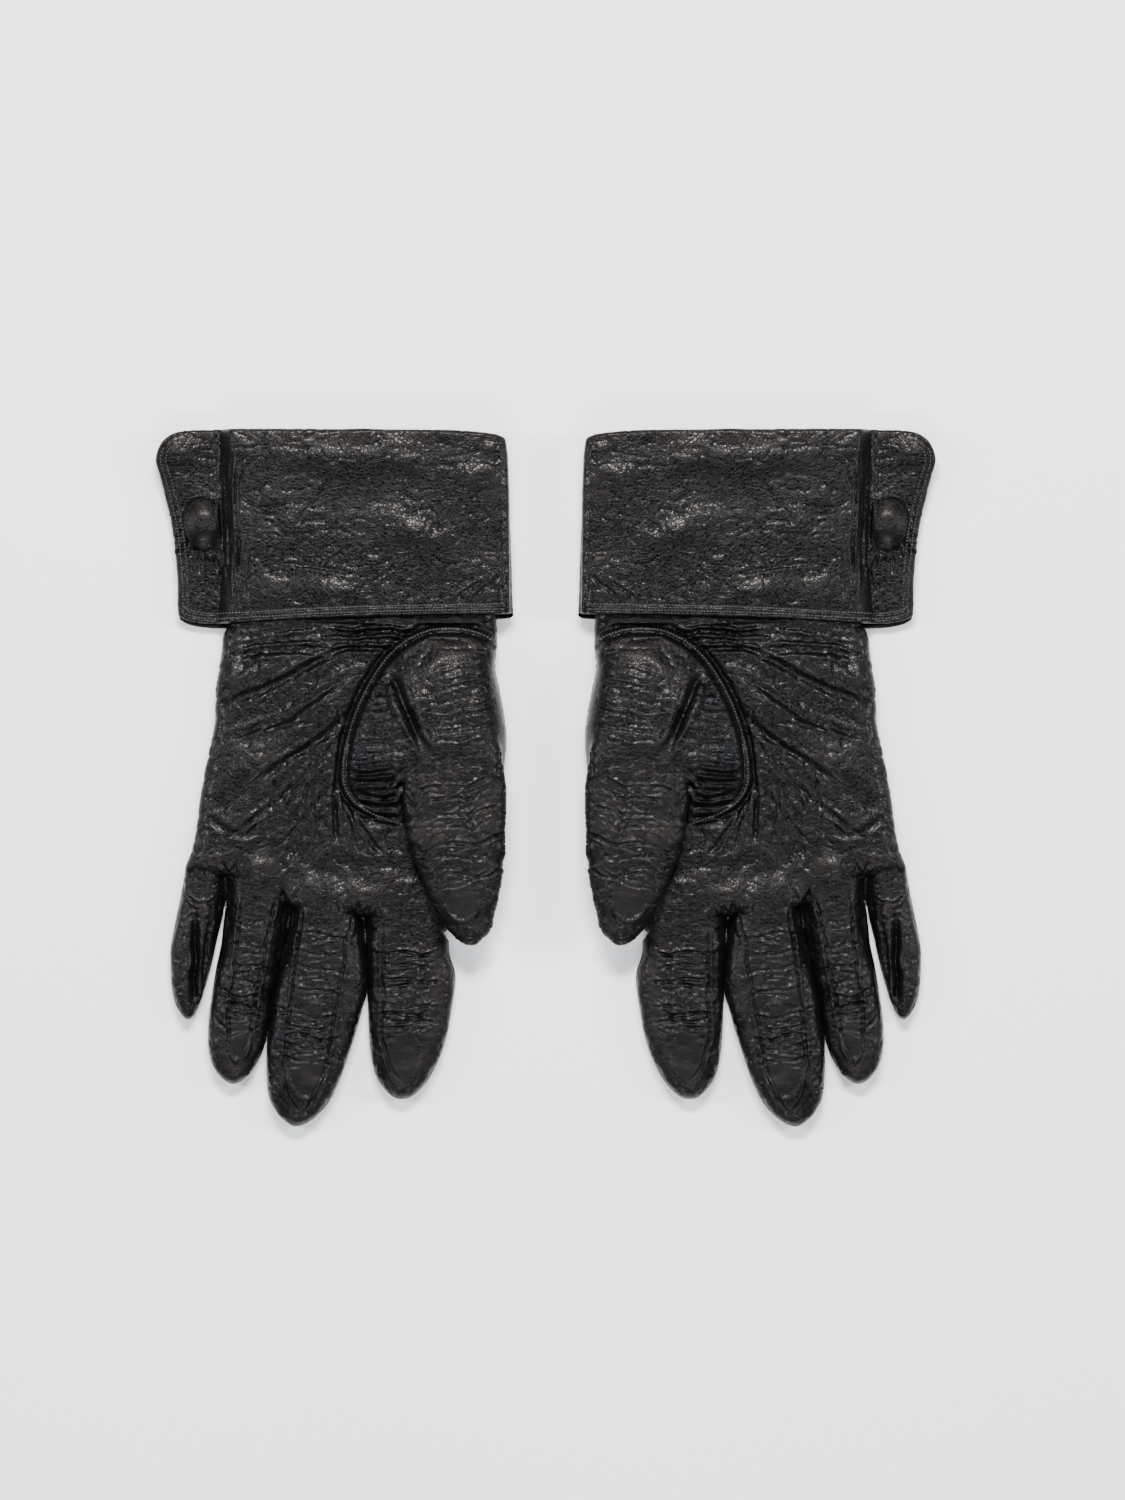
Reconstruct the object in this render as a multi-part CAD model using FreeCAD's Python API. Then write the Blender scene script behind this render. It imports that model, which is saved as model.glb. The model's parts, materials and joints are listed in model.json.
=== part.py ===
"""A pair of leather gloves with turned-back cuffs, lying palm up. Millimetres, +Z up.

Each glove is cut and sewn from flat leather: a hand of one palm and one back, fingers with
side strips (fourchettes), a thumb on its own base, a gauntlet above the wrist, and a cuff that
is turned back over the gauntlet and shut with a covered snap on the little-finger side.

Everything is modelled once, for the left glove, in the glove's own plane: x across the hand
towards the thumb, y from the fingertips to the cuff with 0 at the wrist, z up from the table.
The right glove is its mirror image. The row's origin is on the table, midway between the two.
"""
import FreeCAD
import Part
import math
import os

Vector = FreeCAD.Vector
Z_AXIS = Vector(0, 0, 1)

# ---- Driving dimensions -------------------------------------------------------------------
LEATHER = 1.0            # one layer of glove leather
HAND_HEIGHT = 12.0       # palm and fingers, outside
PIVOT_GAP = 0.4          # slit between two parts that bend against each other
GLOVE_CENTRE_X = 81.5    # from the pair's mid-plane to a glove's centre line
GLOVE_CENTRE_Y = 62.9    # from a glove's wrist line to the middle of its length

# Fingers: x and y of the middle of the base, lean towards the little finger in degrees,
# width at the base, width near the tip, length.
FINGERS = {
    "index": (29.6, -127.8, 3.0, 30.0, 25.0, 57.8),
    "middle": (-3.4, -121.5, 8.2, 28.5, 25.5, 76.2),
    "ring": (-29.6, -116.5, 8.4, 20.5, 19.5, 63.5),
    "little": (-49.9, -106.5, 7.0, 16.0, 12.0, 49.0),
}
TIP_DEPTH = 0.65         # length of the rounded tip, as a share of the width there
SIDE_CLEARANCE = 0.45    # between a finger and the fork beside it

# Thumb: it lies on the palm, from the same kind of base line.
THUMB = (45.6, -61.6, -6.5, 37.0, 33.0, 65.0)
THUMB_BOTTOM = HAND_HEIGHT + 0.6
THUMB_TOP = 24.0

# Hand outline, apart from the finger bases.
WRIST_Y = 6.0
HAND_LITTLE_SIDE = [(-39.0, WRIST_Y), (-39.4, -3.0), (-43.4, -9.0), (-45.2, -38.0), (-49.6, -72.0)]
HAND_THUMB_SIDE = [(50.0, -92.0), (57.0, -52.0), (63.4, -18.0), (61.0, WRIST_Y)]
BACK_END_Y = -9.0        # the back of the hand stops here, in front of the cuff's hem

# Thumb base: a mound whose foot is sewn to the palm.
MOUND_FOOT = [(60.5, -6.0), (36.0, -8.0), (19.0, -19.0), (9.5, -38.0), (6.5, -57.0)]
MOUND_CREST = [(58.0, -20.0), (46.0, -22.0), (37.5, -28.0), (31.0, -40.0), (29.0, -50.0)]
MOUND_RIM = 2.5          # width of the foot's sewn rim on the palm
MOUND_SLOPE = 1.6        # level width of its sloping wall, as a multiple of the leather

# Gauntlet: the tube above the wrist, inside the turned-back cuff.
FOLD_Y = 71.2            # where the cuff is turned back
GAUNTLET_X = (-38.0, 61.0)
GAUNTLET_BOTTOM = 2.8

# Cuff flaps, front on top and back underneath.
FLAP_GAP = 0.6           # between the gauntlet and the front flap
FLAP_Y_GAP = 0.3         # between a flap and its fold line
CUFF_THUMB_X = (68.6, 66.0)   # thumb-side edge at the hem and at the fold
HEM_Y = 1.2
CREASE_X = -41.0         # where the front flap drops over the gauntlet's edge
SNAP_FLAP_BOTTOM = 5.0
# Little-finger-side edge of the cuff from hem to fold: it flares, then rounds into the fold.
CUFF_EDGE = [(-59.2, 3.0), (-60.0, 20.0), (-62.6, 40.0), (-66.9, 53.5), (-68.1, 61.0), (-63.5, 67.6)]
HEM_CORNER = (-55.0, -2.6)
FOLD_CORNER_X = -54.0    # where that edge meets the fold
BACK_HEM_DROP = 3.2      # how far the back flap's hem reaches past the front one

# Snap fastener.
SNAP_X, SNAP_Y = -50.2, 34.7
CAP_RADIUS, CAP_HEIGHT = 7.4, 1.7
SHANK_RADIUS = 1.2
SOCKET_RADIUS, SOCKET_BORE, SOCKET_BOTTOM = 5.0, 2.6, 2.9
STUD_FLANGE, STUD_RADIUS = 0.5, 1.7
POST_RADIUS, POST_HEIGHT, POST_RECESS = 4.0, 0.7, 0.1
HOLE_CLEARANCE = 0.05

# Wrist elastic, sewn inside the palm side.
ELASTIC_X, ELASTIC_Y, ELASTIC_THICK = (-30.0, 50.0), (-2.0, 5.0), 0.8

FLAP_BOTTOM = HAND_HEIGHT + FLAP_GAP
FLAP_TOP = FLAP_BOTTOM + 2 * LEATHER
SNAP_FLAP_TOP = SNAP_FLAP_BOTTOM + 2 * LEATHER
SIDE_SPLIT_Z = FLAP_TOP / 2      # the cuff's thumb side is shared between its two flaps here
THROUGH = 200.0                  # longer than any part, for cutting tools


# ---- Small helpers ------------------------------------------------------------------------
def box(x, y, z):
    """A block from three (low, high) pairs."""
    return Part.makeBox(x[1] - x[0], y[1] - y[0], z[1] - z[0], Vector(x[0], y[0], z[0]))


def face_of(points):
    """The flat face inside a closed outline of straight edges, at z = 0."""
    corners = [Vector(x, y, 0) for x, y in points]
    return Part.Face(Part.makePolygon(corners + corners[:1]))


def raise_face(face, low, high):
    """The solid that a flat face at z = 0 sweeps between two heights."""
    solid = face.extrude(Vector(0, 0, high - low))
    solid.translate(Vector(0, 0, low))
    return solid


def cylinder(x, y, radius, low, high):
    return Part.makeCylinder(radius, high - low, Vector(x, y, low))


def shell_of(outer, inner, low, high):
    """A closed leather shell one layer thick, between two outlines and two heights."""
    cavity = raise_face(inner, low + LEATHER, high - LEATHER)
    return raise_face(outer, low, high).cut(cavity)


# ---- Fingers ------------------------------------------------------------------------------
def place_digit(shape, digit):
    """Moves a digit from its own frame, with its base at 0 and its tip along -y, to the glove."""
    base_x, base_y, lean = digit[:3]
    shape.rotate(Vector(0, 0, 0), Z_AXIS, -lean)
    shape.translate(Vector(base_x, base_y, 0))
    return shape


def digit_outline(digit, inset):
    """A tapering strip with an elliptical tip, starting just past the bend line."""
    width, tip_width, length = digit[3:]
    half_base = width / 2 - inset
    half_tip = tip_width / 2 - inset
    depth = TIP_DEPTH * tip_width - inset
    shoulder = length - inset - depth
    start = -PIVOT_GAP if inset == 0 else LEATHER
    left_base, right_base = Vector(-half_base, start, 0), Vector(half_base, start, 0)
    left_tip, right_tip = Vector(-half_tip, -shoulder, 0), Vector(half_tip, -shoulder, 0)
    end = Vector(0, -shoulder - depth, 0)
    middle = Vector(0, -shoulder, 0)
    if depth >= half_tip:
        ellipse = Part.Ellipse(end, right_tip, middle)
    else:
        ellipse = Part.Ellipse(right_tip, end, middle)
    first, last = ellipse.parameter(left_tip), ellipse.parameter(right_tip)
    if last < first:
        last += 2 * math.pi
    tip = Part.ArcOfEllipse(ellipse, first, last).toShape()
    if tip.valueAt((tip.FirstParameter + tip.LastParameter) / 2).y > -shoulder:
        tip = Part.ArcOfEllipse(ellipse, last, first + 2 * math.pi).toShape()
    edges = [Part.LineSegment(left_base, left_tip).toShape(), tip,
             Part.LineSegment(right_tip, right_base).toShape(),
             Part.LineSegment(right_base, left_base).toShape()]
    return Part.Face(Part.Wire(Part.__sortEdges__(edges)))


def digit_shell(digit, low, high):
    """The hollow digit, open at its base."""
    return shell_of(digit_outline(digit, 0), digit_outline(digit, LEATHER), low, high)


def finger_parts(name, outer_side=0):
    """Palm side, back side and fourchettes of one finger. outer_side is +1 or -1 where that
    side is the hand's own edge, which has no fourchette."""
    finger = FINGERS[name]
    width, tip_width, length = finger[3:]
    shell = digit_shell(finger, 0, HAND_HEIGHT)
    back = shell.common(box((-THROUGH, THROUGH), (-THROUGH, THROUGH), (0, LEATHER)))
    palm_side = shell.cut(box((-THROUGH, THROUGH), (-THROUGH, THROUGH), (0, LEATHER)))
    shoulder = length - TIP_DEPTH * tip_width
    strips = []
    for side in (-1, 1):
        if side == outer_side:
            continue
        reach = sorted((side * tip_width / 4, side * width))
        tool = box(reach, (-shoulder, 1), (LEATHER, HAND_HEIGHT - LEATHER))
        strips.append(palm_side.common(tool))
        palm_side = palm_side.cut(tool)
    strips_name = "_fourchettes" if len(strips) > 1 else "_fourchette"
    fourchettes = Part.makeCompound(strips) if len(strips) > 1 else strips[0]
    parts = {"_palm_side": palm_side, "_back_side": back, strips_name: fourchettes}
    return {name + key: place_digit(part, finger) for key, part in parts.items()}


def thumb_parts():
    """The thumb's one leather, split where it folds: its palm side and its back side."""
    shell = digit_shell(THUMB, THUMB_BOTTOM, THUMB_TOP)
    floor = box((-THROUGH, THROUGH), (-THROUGH, THROUGH), (THUMB_BOTTOM, THUMB_BOTTOM + LEATHER))
    back = shell.common(floor)
    palm_side = shell.cut(floor)
    return {"thumb_palm_side": place_digit(palm_side, THUMB),
            "thumb_back_side": place_digit(back, THUMB)}


# ---- Hand ---------------------------------------------------------------------------------
def base_corner(digit, side, clearance=0.0):
    """A corner of a digit's base line, on side -1 (little finger) or +1 (thumb)."""
    base_x, base_y, lean, width = digit[:4]
    reach = side * (width / 2 + clearance)
    angle = math.radians(lean)
    return (base_x + reach * math.cos(angle), base_y - reach * math.sin(angle))


def hand_outline():
    """The hand's outline, stepping from one finger's base line to the next."""
    steps = []
    for name in ("little", "ring", "middle", "index"):
        for side in (-1, 1):
            steps.append(base_corner(FINGERS[name], side, SIDE_CLEARANCE))
    return HAND_LITTLE_SIDE + steps + HAND_THUMB_SIDE


def finger_ways():
    """What joins each finger's hollow to the hand's."""
    ways = []
    for finger in FINGERS.values():
        half = finger[3] / 2 - LEATHER
        way = box((-half, half), (-3 * LEATHER, 3 * LEATHER), (LEATHER, HAND_HEIGHT - LEATHER))
        ways.append(place_digit(way, finger))
    return ways


def mound_outline(points, inset):
    """A horizontal outline of the thumb base, closed along the thumb's bend line."""
    left = base_corner(THUMB, -1, -inset)
    right = base_corner(THUMB, 1, -inset)
    return [right] + points + [left]


def mound_solid(inset):
    """The thumb base as a solid that rises from its foot to the thumb's height."""
    rise = (HAND_HEIGHT, THUMB_TOP - inset)
    loops = []
    for points, z in ((MOUND_FOOT, rise[0]), (MOUND_CREST, rise[1])):
        middle_x = sum(x for x, _ in points) / len(points)
        middle_y = sum(y for _, y in points) / len(points)
        drawn = []
        for x, y in points:
            away = math.hypot(x - middle_x, y - middle_y)
            keep = (away - MOUND_SLOPE * inset) / away
            drawn.append((middle_x + keep * (x - middle_x), middle_y + keep * (y - middle_y)))
        corners = [Vector(x, y, z) for x, y in mound_outline(drawn, inset)]
        loops.append(Part.makePolygon(corners + corners[:1]))
    return Part.makeLoft(loops, True, True)


def hand_parts():
    """The palm with its thumb hole, the back of the hand, and the thumb base on the palm."""
    outline = face_of(hand_outline())
    inner = outline.makeOffset2D(-LEATHER)
    shell = shell_of(outline, inner, 0, HAND_HEIGHT)
    for way in finger_ways():
        shell = shell.cut(way)
    inside_x = (GAUNTLET_X[0] + LEATHER, GAUNTLET_X[1] - LEATHER)
    shell = shell.cut(box(inside_x, (WRIST_Y - 3, WRIST_Y + 3), (LEATHER, HAND_HEIGHT - LEATHER)))
    floor = box((-THROUGH, THROUGH), (-THROUGH, THROUGH), (0, LEATHER))
    back = shell.common(floor)
    back = back.cut(box((-THROUGH, THROUGH), (BACK_END_Y, THROUGH), (0, LEATHER)))
    palm = shell.cut(floor)
    step_top = GAUNTLET_BOTTOM + LEATHER
    palm = palm.cut(box((-THROUGH, THROUGH), (BACK_END_Y - 6, THROUGH), (0, step_top)))

    foot = face_of(mound_outline(MOUND_FOOT, LEATHER))
    hole = raise_face(foot.makeOffset2D(-MOUND_RIM), HAND_HEIGHT - 2 * LEATHER, HAND_HEIGHT + 1)
    palm = palm.cut(hole)

    mound = mound_solid(0).cut(mound_solid(LEATHER))
    half = THUMB[3] / 2 - 1.5 * LEATHER
    way = box((-half, half), (-4, 4), (THUMB_BOTTOM + LEATHER, THUMB_TOP - LEATHER))
    mound = mound.cut(place_digit(way, THUMB))
    return {"palm": palm, "back": back, "thumb_base": mound}


def gauntlet_parts():
    """The tube from the wrist to the fold, and the elastic that gathers the wrist."""
    low_x, high_x = GAUNTLET_X
    tube = box(GAUNTLET_X, (WRIST_Y, FOLD_Y), (GAUNTLET_BOTTOM + LEATHER, HAND_HEIGHT))
    inside = box((low_x + LEATHER, high_x - LEATHER), (WRIST_Y - 1, FOLD_Y + 1),
                 (GAUNTLET_BOTTOM, HAND_HEIGHT - LEATHER))
    palm_side = tube.cut(inside)

    # The back side laps onto the back of the hand and climbs clear of the cuff beneath it.
    lap, slope = BACK_END_Y - 5.0, GAUNTLET_BOTTOM - LEATHER
    profile = [(lap, LEATHER), (BACK_END_Y, LEATHER), (BACK_END_Y + slope, GAUNTLET_BOTTOM),
               (FOLD_Y, GAUNTLET_BOTTOM), (FOLD_Y, GAUNTLET_BOTTOM + LEATHER),
               (BACK_END_Y + slope - 0.4, GAUNTLET_BOTTOM + LEATHER), (BACK_END_Y - 0.4, 2 * LEATHER),
               (lap, 2 * LEATHER)]
    corners = [Vector(low_x, y, z) for y, z in profile]
    back_side = Part.Face(Part.makePolygon(corners + corners[:1])).extrude(Vector(high_x - low_x, 0, 0))

    top = HAND_HEIGHT - LEATHER
    elastic = box(ELASTIC_X, ELASTIC_Y, (top - ELASTIC_THICK, top))
    return {"gauntlet_palm_side": palm_side, "gauntlet_back_side": back_side, "wrist_elastic": elastic}


# ---- Cuff ---------------------------------------------------------------------------------
def cuff_face(hem_drop):
    """The whole cuff's outline, from its hem to just short of the fold."""
    hem_y = HEM_Y - hem_drop
    corner = Vector(HEM_CORNER[0], HEM_CORNER[1] - hem_drop, 0)
    fold_left = Vector(FOLD_CORNER_X, FOLD_Y - FLAP_Y_GAP, 0)
    edge_points = [Vector(x, y, 0) for x, y in CUFF_EDGE]
    spline = Part.BSplineCurve()
    spline.interpolate(Points=[corner] + edge_points + [fold_left],
                       InitialTangent=Vector(-8, 0, 0), FinalTangent=Vector(12, 0, 0))
    fold_right = Vector(CUFF_THUMB_X[1], FOLD_Y - FLAP_Y_GAP, 0)
    hem_right = Vector(CUFF_THUMB_X[0], hem_y, 0)
    hem_middle = Vector(-10.0, hem_y - 0.2, 0)
    straight = Part.makePolygon([fold_left, fold_right, hem_right, hem_middle, corner])
    return Part.Face(Part.Wire([spline.toShape()] + straight.Edges))


def flap(hem_drop, from_x, to_x, low, high):
    """A layer of the cuff between two x and between two heights."""
    layer = raise_face(cuff_face(hem_drop), low, high)
    return layer.common(box((from_x, to_x), (-THROUGH, THROUGH), (low, high)))


def thumb_side_wall(hem_drop, low, high):
    """Half of the cuff's folded thumb side, hanging from one flap."""
    hem_y = HEM_Y - hem_drop
    outer = [(CUFF_THUMB_X[0], hem_y), (CUFF_THUMB_X[1], FOLD_Y - FLAP_Y_GAP)]
    inner = [(x - LEATHER, y) for x, y in reversed(outer)]
    return raise_face(face_of(outer + inner), low, high)


def front_cuff_parts():
    """The front flap's two layers. The facing also makes the sides that drop round the gauntlet."""
    facing = flap(0, CREASE_X, THROUGH, FLAP_TOP - LEATHER, FLAP_TOP)
    lining = flap(0, CREASE_X + LEATHER, CUFF_THUMB_X[1] - LEATHER, FLAP_BOTTOM, FLAP_TOP - LEATHER)
    wall = thumb_side_wall(0, SIDE_SPLIT_Z + PIVOT_GAP / 2, FLAP_TOP - LEATHER)
    drop = box((CREASE_X, CREASE_X + LEATHER), (HEM_Y, FOLD_Y - FLAP_Y_GAP),
               (SNAP_FLAP_TOP + PIVOT_GAP / 2, FLAP_TOP - LEATHER))
    facing = facing.fuse([wall, drop]).removeSplitter()
    return {"front_cuff_facing": facing, "front_cuff_lining": lining.cut(wall)}


def back_cuff_parts():
    """The back flap's two layers, with the snap's holes."""
    facing = flap(BACK_HEM_DROP, -THROUGH, THROUGH, 0, LEATHER)
    lining = flap(BACK_HEM_DROP, -THROUGH, CUFF_THUMB_X[1] - LEATHER, LEATHER, 2 * LEATHER)
    wall = thumb_side_wall(BACK_HEM_DROP, LEATHER, SIDE_SPLIT_Z - PIVOT_GAP / 2)
    facing = facing.fuse(wall).removeSplitter()
    facing = facing.cut(cylinder(SNAP_X, SNAP_Y, POST_RADIUS + HOLE_CLEARANCE, -1, LEATHER))
    shank_hole = cylinder(SNAP_X, SNAP_Y, SHANK_RADIUS + HOLE_CLEARANCE, -1, 3 * LEATHER)
    return {"back_cuff_facing": facing, "back_cuff_lining": lining.cut(wall).cut(shank_hole)}


# ---- Snap ---------------------------------------------------------------------------------
def turned(profile):
    """A solid of revolution about the snap's axis, from (radius, z) points."""
    corners = [Vector(SNAP_X + r, SNAP_Y, z) for r, z in profile]
    face = Part.Face(Part.makePolygon(corners + corners[:1]))
    return face.revolve(Vector(SNAP_X, SNAP_Y, 0), Z_AXIS, 360)


def domed(radius, height, low):
    """A lens-shaped cap: flat below, part of a sphere above."""
    sphere_radius = (radius * radius + height * height) / (2 * height)
    sphere = Part.makeSphere(sphere_radius, Vector(SNAP_X, SNAP_Y, low + height - sphere_radius))
    return sphere.common(cylinder(SNAP_X, SNAP_Y, radius, low, low + height))


def snap_parts():
    """The outer end of the front flap, the snap's cap and socket on it, and its stud and post."""
    plate = flap(0, -THROUGH, CREASE_X - PIVOT_GAP, SNAP_FLAP_BOTTOM, SNAP_FLAP_TOP)
    cover = domed(CAP_RADIUS + LEATHER, CAP_HEIGHT + LEATHER, SNAP_FLAP_TOP)
    cap = domed(CAP_RADIUS, CAP_HEIGHT, SNAP_FLAP_TOP)
    shank = cylinder(SNAP_X, SNAP_Y, SHANK_RADIUS, SNAP_FLAP_BOTTOM, SNAP_FLAP_TOP)
    snap_flap = plate.fuse(cover).removeSplitter().cut(cap).cut(shank)
    post_top = 2 * LEATHER + STUD_FLANGE
    socket = turned([(SOCKET_BORE, SOCKET_BOTTOM), (SOCKET_RADIUS, SOCKET_BOTTOM),
                     (SOCKET_RADIUS, SNAP_FLAP_BOTTOM), (0, SNAP_FLAP_BOTTOM),
                     (0, SNAP_FLAP_BOTTOM - 0.3), (SOCKET_BORE, SNAP_FLAP_BOTTOM - 0.3)])
    flange = cylinder(SNAP_X, SNAP_Y, SOCKET_RADIUS, 2 * LEATHER, post_top)
    dome = Part.makeSphere(STUD_RADIUS, Vector(SNAP_X, SNAP_Y, post_top))
    dome = dome.common(cylinder(SNAP_X, SNAP_Y, STUD_RADIUS, post_top, post_top + STUD_RADIUS))
    stud = flange.fuse(dome).cut(cylinder(SNAP_X, SNAP_Y, SHANK_RADIUS + HOLE_CLEARANCE, 0, post_top))
    disc = cylinder(SNAP_X, SNAP_Y, POST_RADIUS, POST_RECESS, POST_RECESS + POST_HEIGHT)
    post = disc.fuse(cylinder(SNAP_X, SNAP_Y, SHANK_RADIUS, POST_RECESS + POST_HEIGHT, post_top))
    return {"snap_flap": snap_flap, "snap_cap": cap.fuse(shank).removeSplitter(),
            "snap_socket": socket, "snap_stud": stud, "snap_post": post.removeSplitter()}


# ---- The pair -----------------------------------------------------------------------------
def left_glove():
    """Every piece of the left glove, in the glove's own plane."""
    parts = {}
    parts.update(hand_parts())
    parts.update(gauntlet_parts())
    parts.update(finger_parts("index", outer_side=1))
    parts.update(finger_parts("middle"))
    parts.update(finger_parts("ring"))
    parts.update(finger_parts("little", outer_side=-1))
    parts.update(thumb_parts())
    parts.update(front_cuff_parts())
    parts.update(back_cuff_parts())
    parts.update(snap_parts())
    return parts


def export_pair():
    """Writes one STEP for each piece of both gloves."""
    os.makedirs("parts", exist_ok=True)
    for name, part in left_glove().items():
        part.translate(Vector(-GLOVE_CENTRE_X, GLOVE_CENTRE_Y, 0))
        mirrored = part.mirror(Vector(0, 0, 0), Vector(1, 0, 0))
        for side, shape in (("left_", part), ("right_", mirrored)):
            assert shape.isValid() and shape.Volume > 0, side + name
            shape.exportStep("parts/" + side + name + ".step")
            if side == "left_":
                extent = shape.BoundBox
                print(f"{name:22s} volume {shape.Volume:8.1f}  y {extent.YMin:7.2f} {extent.YMax:7.2f}  "
                      f"z {extent.ZMin:6.2f} {extent.ZMax:6.2f}")


export_pair()
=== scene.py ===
"""Looks for a pair of leather gloves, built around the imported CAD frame.

Every shape is worked out once, in millimetres, in the left glove's own plane: x across the hand
towards the thumb, y from the fingertips to the cuff with 0 at the wrist, z up from the table.
The right glove is the same shapes mirrored. Leather pieces are solid fields (positive inside)
on a fine grid, with folds, seams and puckers carved into them, turned into meshes.
"""
import bpy
import json
import math
import numpy as np
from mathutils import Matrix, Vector


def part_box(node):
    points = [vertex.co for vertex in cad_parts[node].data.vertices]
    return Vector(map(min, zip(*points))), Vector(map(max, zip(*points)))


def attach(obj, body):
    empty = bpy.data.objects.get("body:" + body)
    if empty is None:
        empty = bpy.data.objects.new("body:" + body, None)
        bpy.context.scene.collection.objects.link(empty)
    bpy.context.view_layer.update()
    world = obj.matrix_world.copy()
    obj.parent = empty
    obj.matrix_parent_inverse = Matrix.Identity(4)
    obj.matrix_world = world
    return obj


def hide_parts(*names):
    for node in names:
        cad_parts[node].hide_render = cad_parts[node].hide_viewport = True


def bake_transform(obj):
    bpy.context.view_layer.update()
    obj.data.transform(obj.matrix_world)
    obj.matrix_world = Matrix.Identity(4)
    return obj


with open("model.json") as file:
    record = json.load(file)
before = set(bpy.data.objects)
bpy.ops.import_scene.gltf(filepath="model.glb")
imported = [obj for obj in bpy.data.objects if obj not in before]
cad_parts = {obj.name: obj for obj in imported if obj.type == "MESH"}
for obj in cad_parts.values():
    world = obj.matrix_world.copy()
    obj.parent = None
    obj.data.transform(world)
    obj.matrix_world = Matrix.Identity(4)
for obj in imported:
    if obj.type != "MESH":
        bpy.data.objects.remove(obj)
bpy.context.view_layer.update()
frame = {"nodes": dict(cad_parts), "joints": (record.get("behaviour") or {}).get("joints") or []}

# ---- Sizes, in millimetres unless a name says otherwise ---------------------------------------
GRID = 0.5                   # spacing of the fields that leather is shaped on
FOLD_X, FOLD_Y = 10.0, 71.2  # where the cuff's fold joint lies in the glove's plane
HAND_MID, HAND_HALF = 5.9, 5.7      # middle height and half thickness of the flattened hand
THUMB_MID, THUMB_HALF = 18.2, 5.3   # the same for the thumb, which lies on the palm
TUBE_MID, TUBE_HALF = 7.45, 4.55    # the same for the tube above the wrist
EDGE_ROUND = 7.5             # how far a rounded side reaches into the hand
SKIN = 1.0                   # leather, one layer
HAND_CALM, CUFF_CALM = 0.22, 0.1    # how far the grain is worn smooth and dull: 1 is a smooth pad
MOUTH_START, MOUTH_END = -14, 7.5   # where the hand is hollow, and where it ends inside the cuff
THUMB_PART = 12.4            # above this height, past the bend line, skin belongs to the thumb
BEND_REACH = {"index": 11, "middle": 11, "ring": 9.5, "little": 8, "thumb": 13}
FLAP_SPLIT = -37.5           # left of this, the cuff's front is its snap flap
FLAP_BEND = ((FLAP_SPLIT - 1, 0, 0), (FLAP_SPLIT - 6.5, 0, 0))   # the leather that bends there
STITCH_PITCH, STITCH_LONG, STITCH_THICK = 1.25, 1.0, 0.85
STITCH_LIFT = 0.2            # of a stitch's middle, above the leather
STITCH_RINGS, STITCH_SIDES = 5, 6
WELT_ROW = 0.6               # how far inside the thumb seam its stitches lie
SIDES = {"left": 1.0, "right": -1.0}
DIGITS = ("index", "middle", "ring", "little", "thumb")

JOINTS = {joint["name"]: joint for joint in frame["joints"]}
fold_at = JOINTS["left_front_cuff_fold"]["pos_m"]
PLANE_X = fold_at[0] * 1000 - FOLD_X     # row x of the glove plane's origin
PLANE_Y = fold_at[1] * 1000 - FOLD_Y     # row y of the same


def to_row(points, sign):
    """Glove-plane points in millimetres to the row frame in metres, mirrored for the right glove."""
    moved = (np.asarray(points, float) + (PLANE_X, PLANE_Y, 0.0)) / 1000
    return moved * (sign, 1.0, 1.0)


class Digit:
    """A finger's or thumb's own directions: across its width and along it, from its bend line."""

    def __init__(self, name):
        joint = JOINTS[f"left_{name}_bend"]
        self.x = joint["pos_m"][0] * 1000 - PLANE_X
        self.y = joint["pos_m"][1] * 1000 - PLANE_Y
        self.lean = math.atan2(joint["axis"][1], -joint["axis"][0])
        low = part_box(f"left_{name}_palm_side")[0]
        self.length = (self.y - (low.y * 1000 - PLANE_Y)) / math.cos(self.lean)

    def local(self, x, y):
        """Across (towards the thumb) and along (towards the tip) for glove-plane x and y."""
        c, s = math.cos(self.lean), math.sin(self.lean)
        return (x - self.x) * c - (y - self.y) * s, -(x - self.x) * s - (y - self.y) * c

    def point(self, across, along, z):
        """The glove-plane point at a place on this digit."""
        c, s = math.cos(self.lean), math.sin(self.lean)
        return (self.x + across * c - along * s, self.y - across * s - along * c, z)


DIGIT = {name: Digit(name) for name in DIGITS}


# ---- Smooth random fields and strokes ---------------------------------------------------------
def noise(x, y, seed):
    """Smooth noise between about -1 and 1 with features one unit across."""
    size = 128
    table = np.random.default_rng(seed).uniform(-1, 1, (size, size))
    xi, yi = np.floor(x).astype(int), np.floor(y).astype(int)
    fx, fy = x - xi, y - yi
    ux = fx * fx * fx * (fx * (fx * 6 - 15) + 10)
    uy = fy * fy * fy * (fy * (fy * 6 - 15) + 10)
    x0, x1, y0, y1 = xi % size, (xi + 1) % size, yi % size, (yi + 1) % size
    low = table[x0, y0] * (1 - ux) + table[x1, y0] * ux
    high = table[x0, y1] * (1 - ux) + table[x1, y1] * ux
    return low * (1 - uy) + high * uy


def creases(x, y, seed, sharp=0.16):
    """Thin lines, 1 on a line and 0 away from it, that wander like cracks one unit apart."""
    bend_x = x + 0.35 * noise(x * 0.9, y * 0.9, seed + 1)
    bend_y = y + 0.35 * noise(x * 0.9, y * 0.9, seed + 2)
    value = noise(bend_x, bend_y, seed) + 0.35 * noise(bend_x * 2.1, bend_y * 2.1, seed + 3)
    return np.exp(-np.abs(value) / sharp)


def ease(value, low, high):
    """0 below low, 1 above high, smooth between."""
    t = np.clip((value - low) / (high - low), 0, 1)
    return t * t * (3 - 2 * t)


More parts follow.
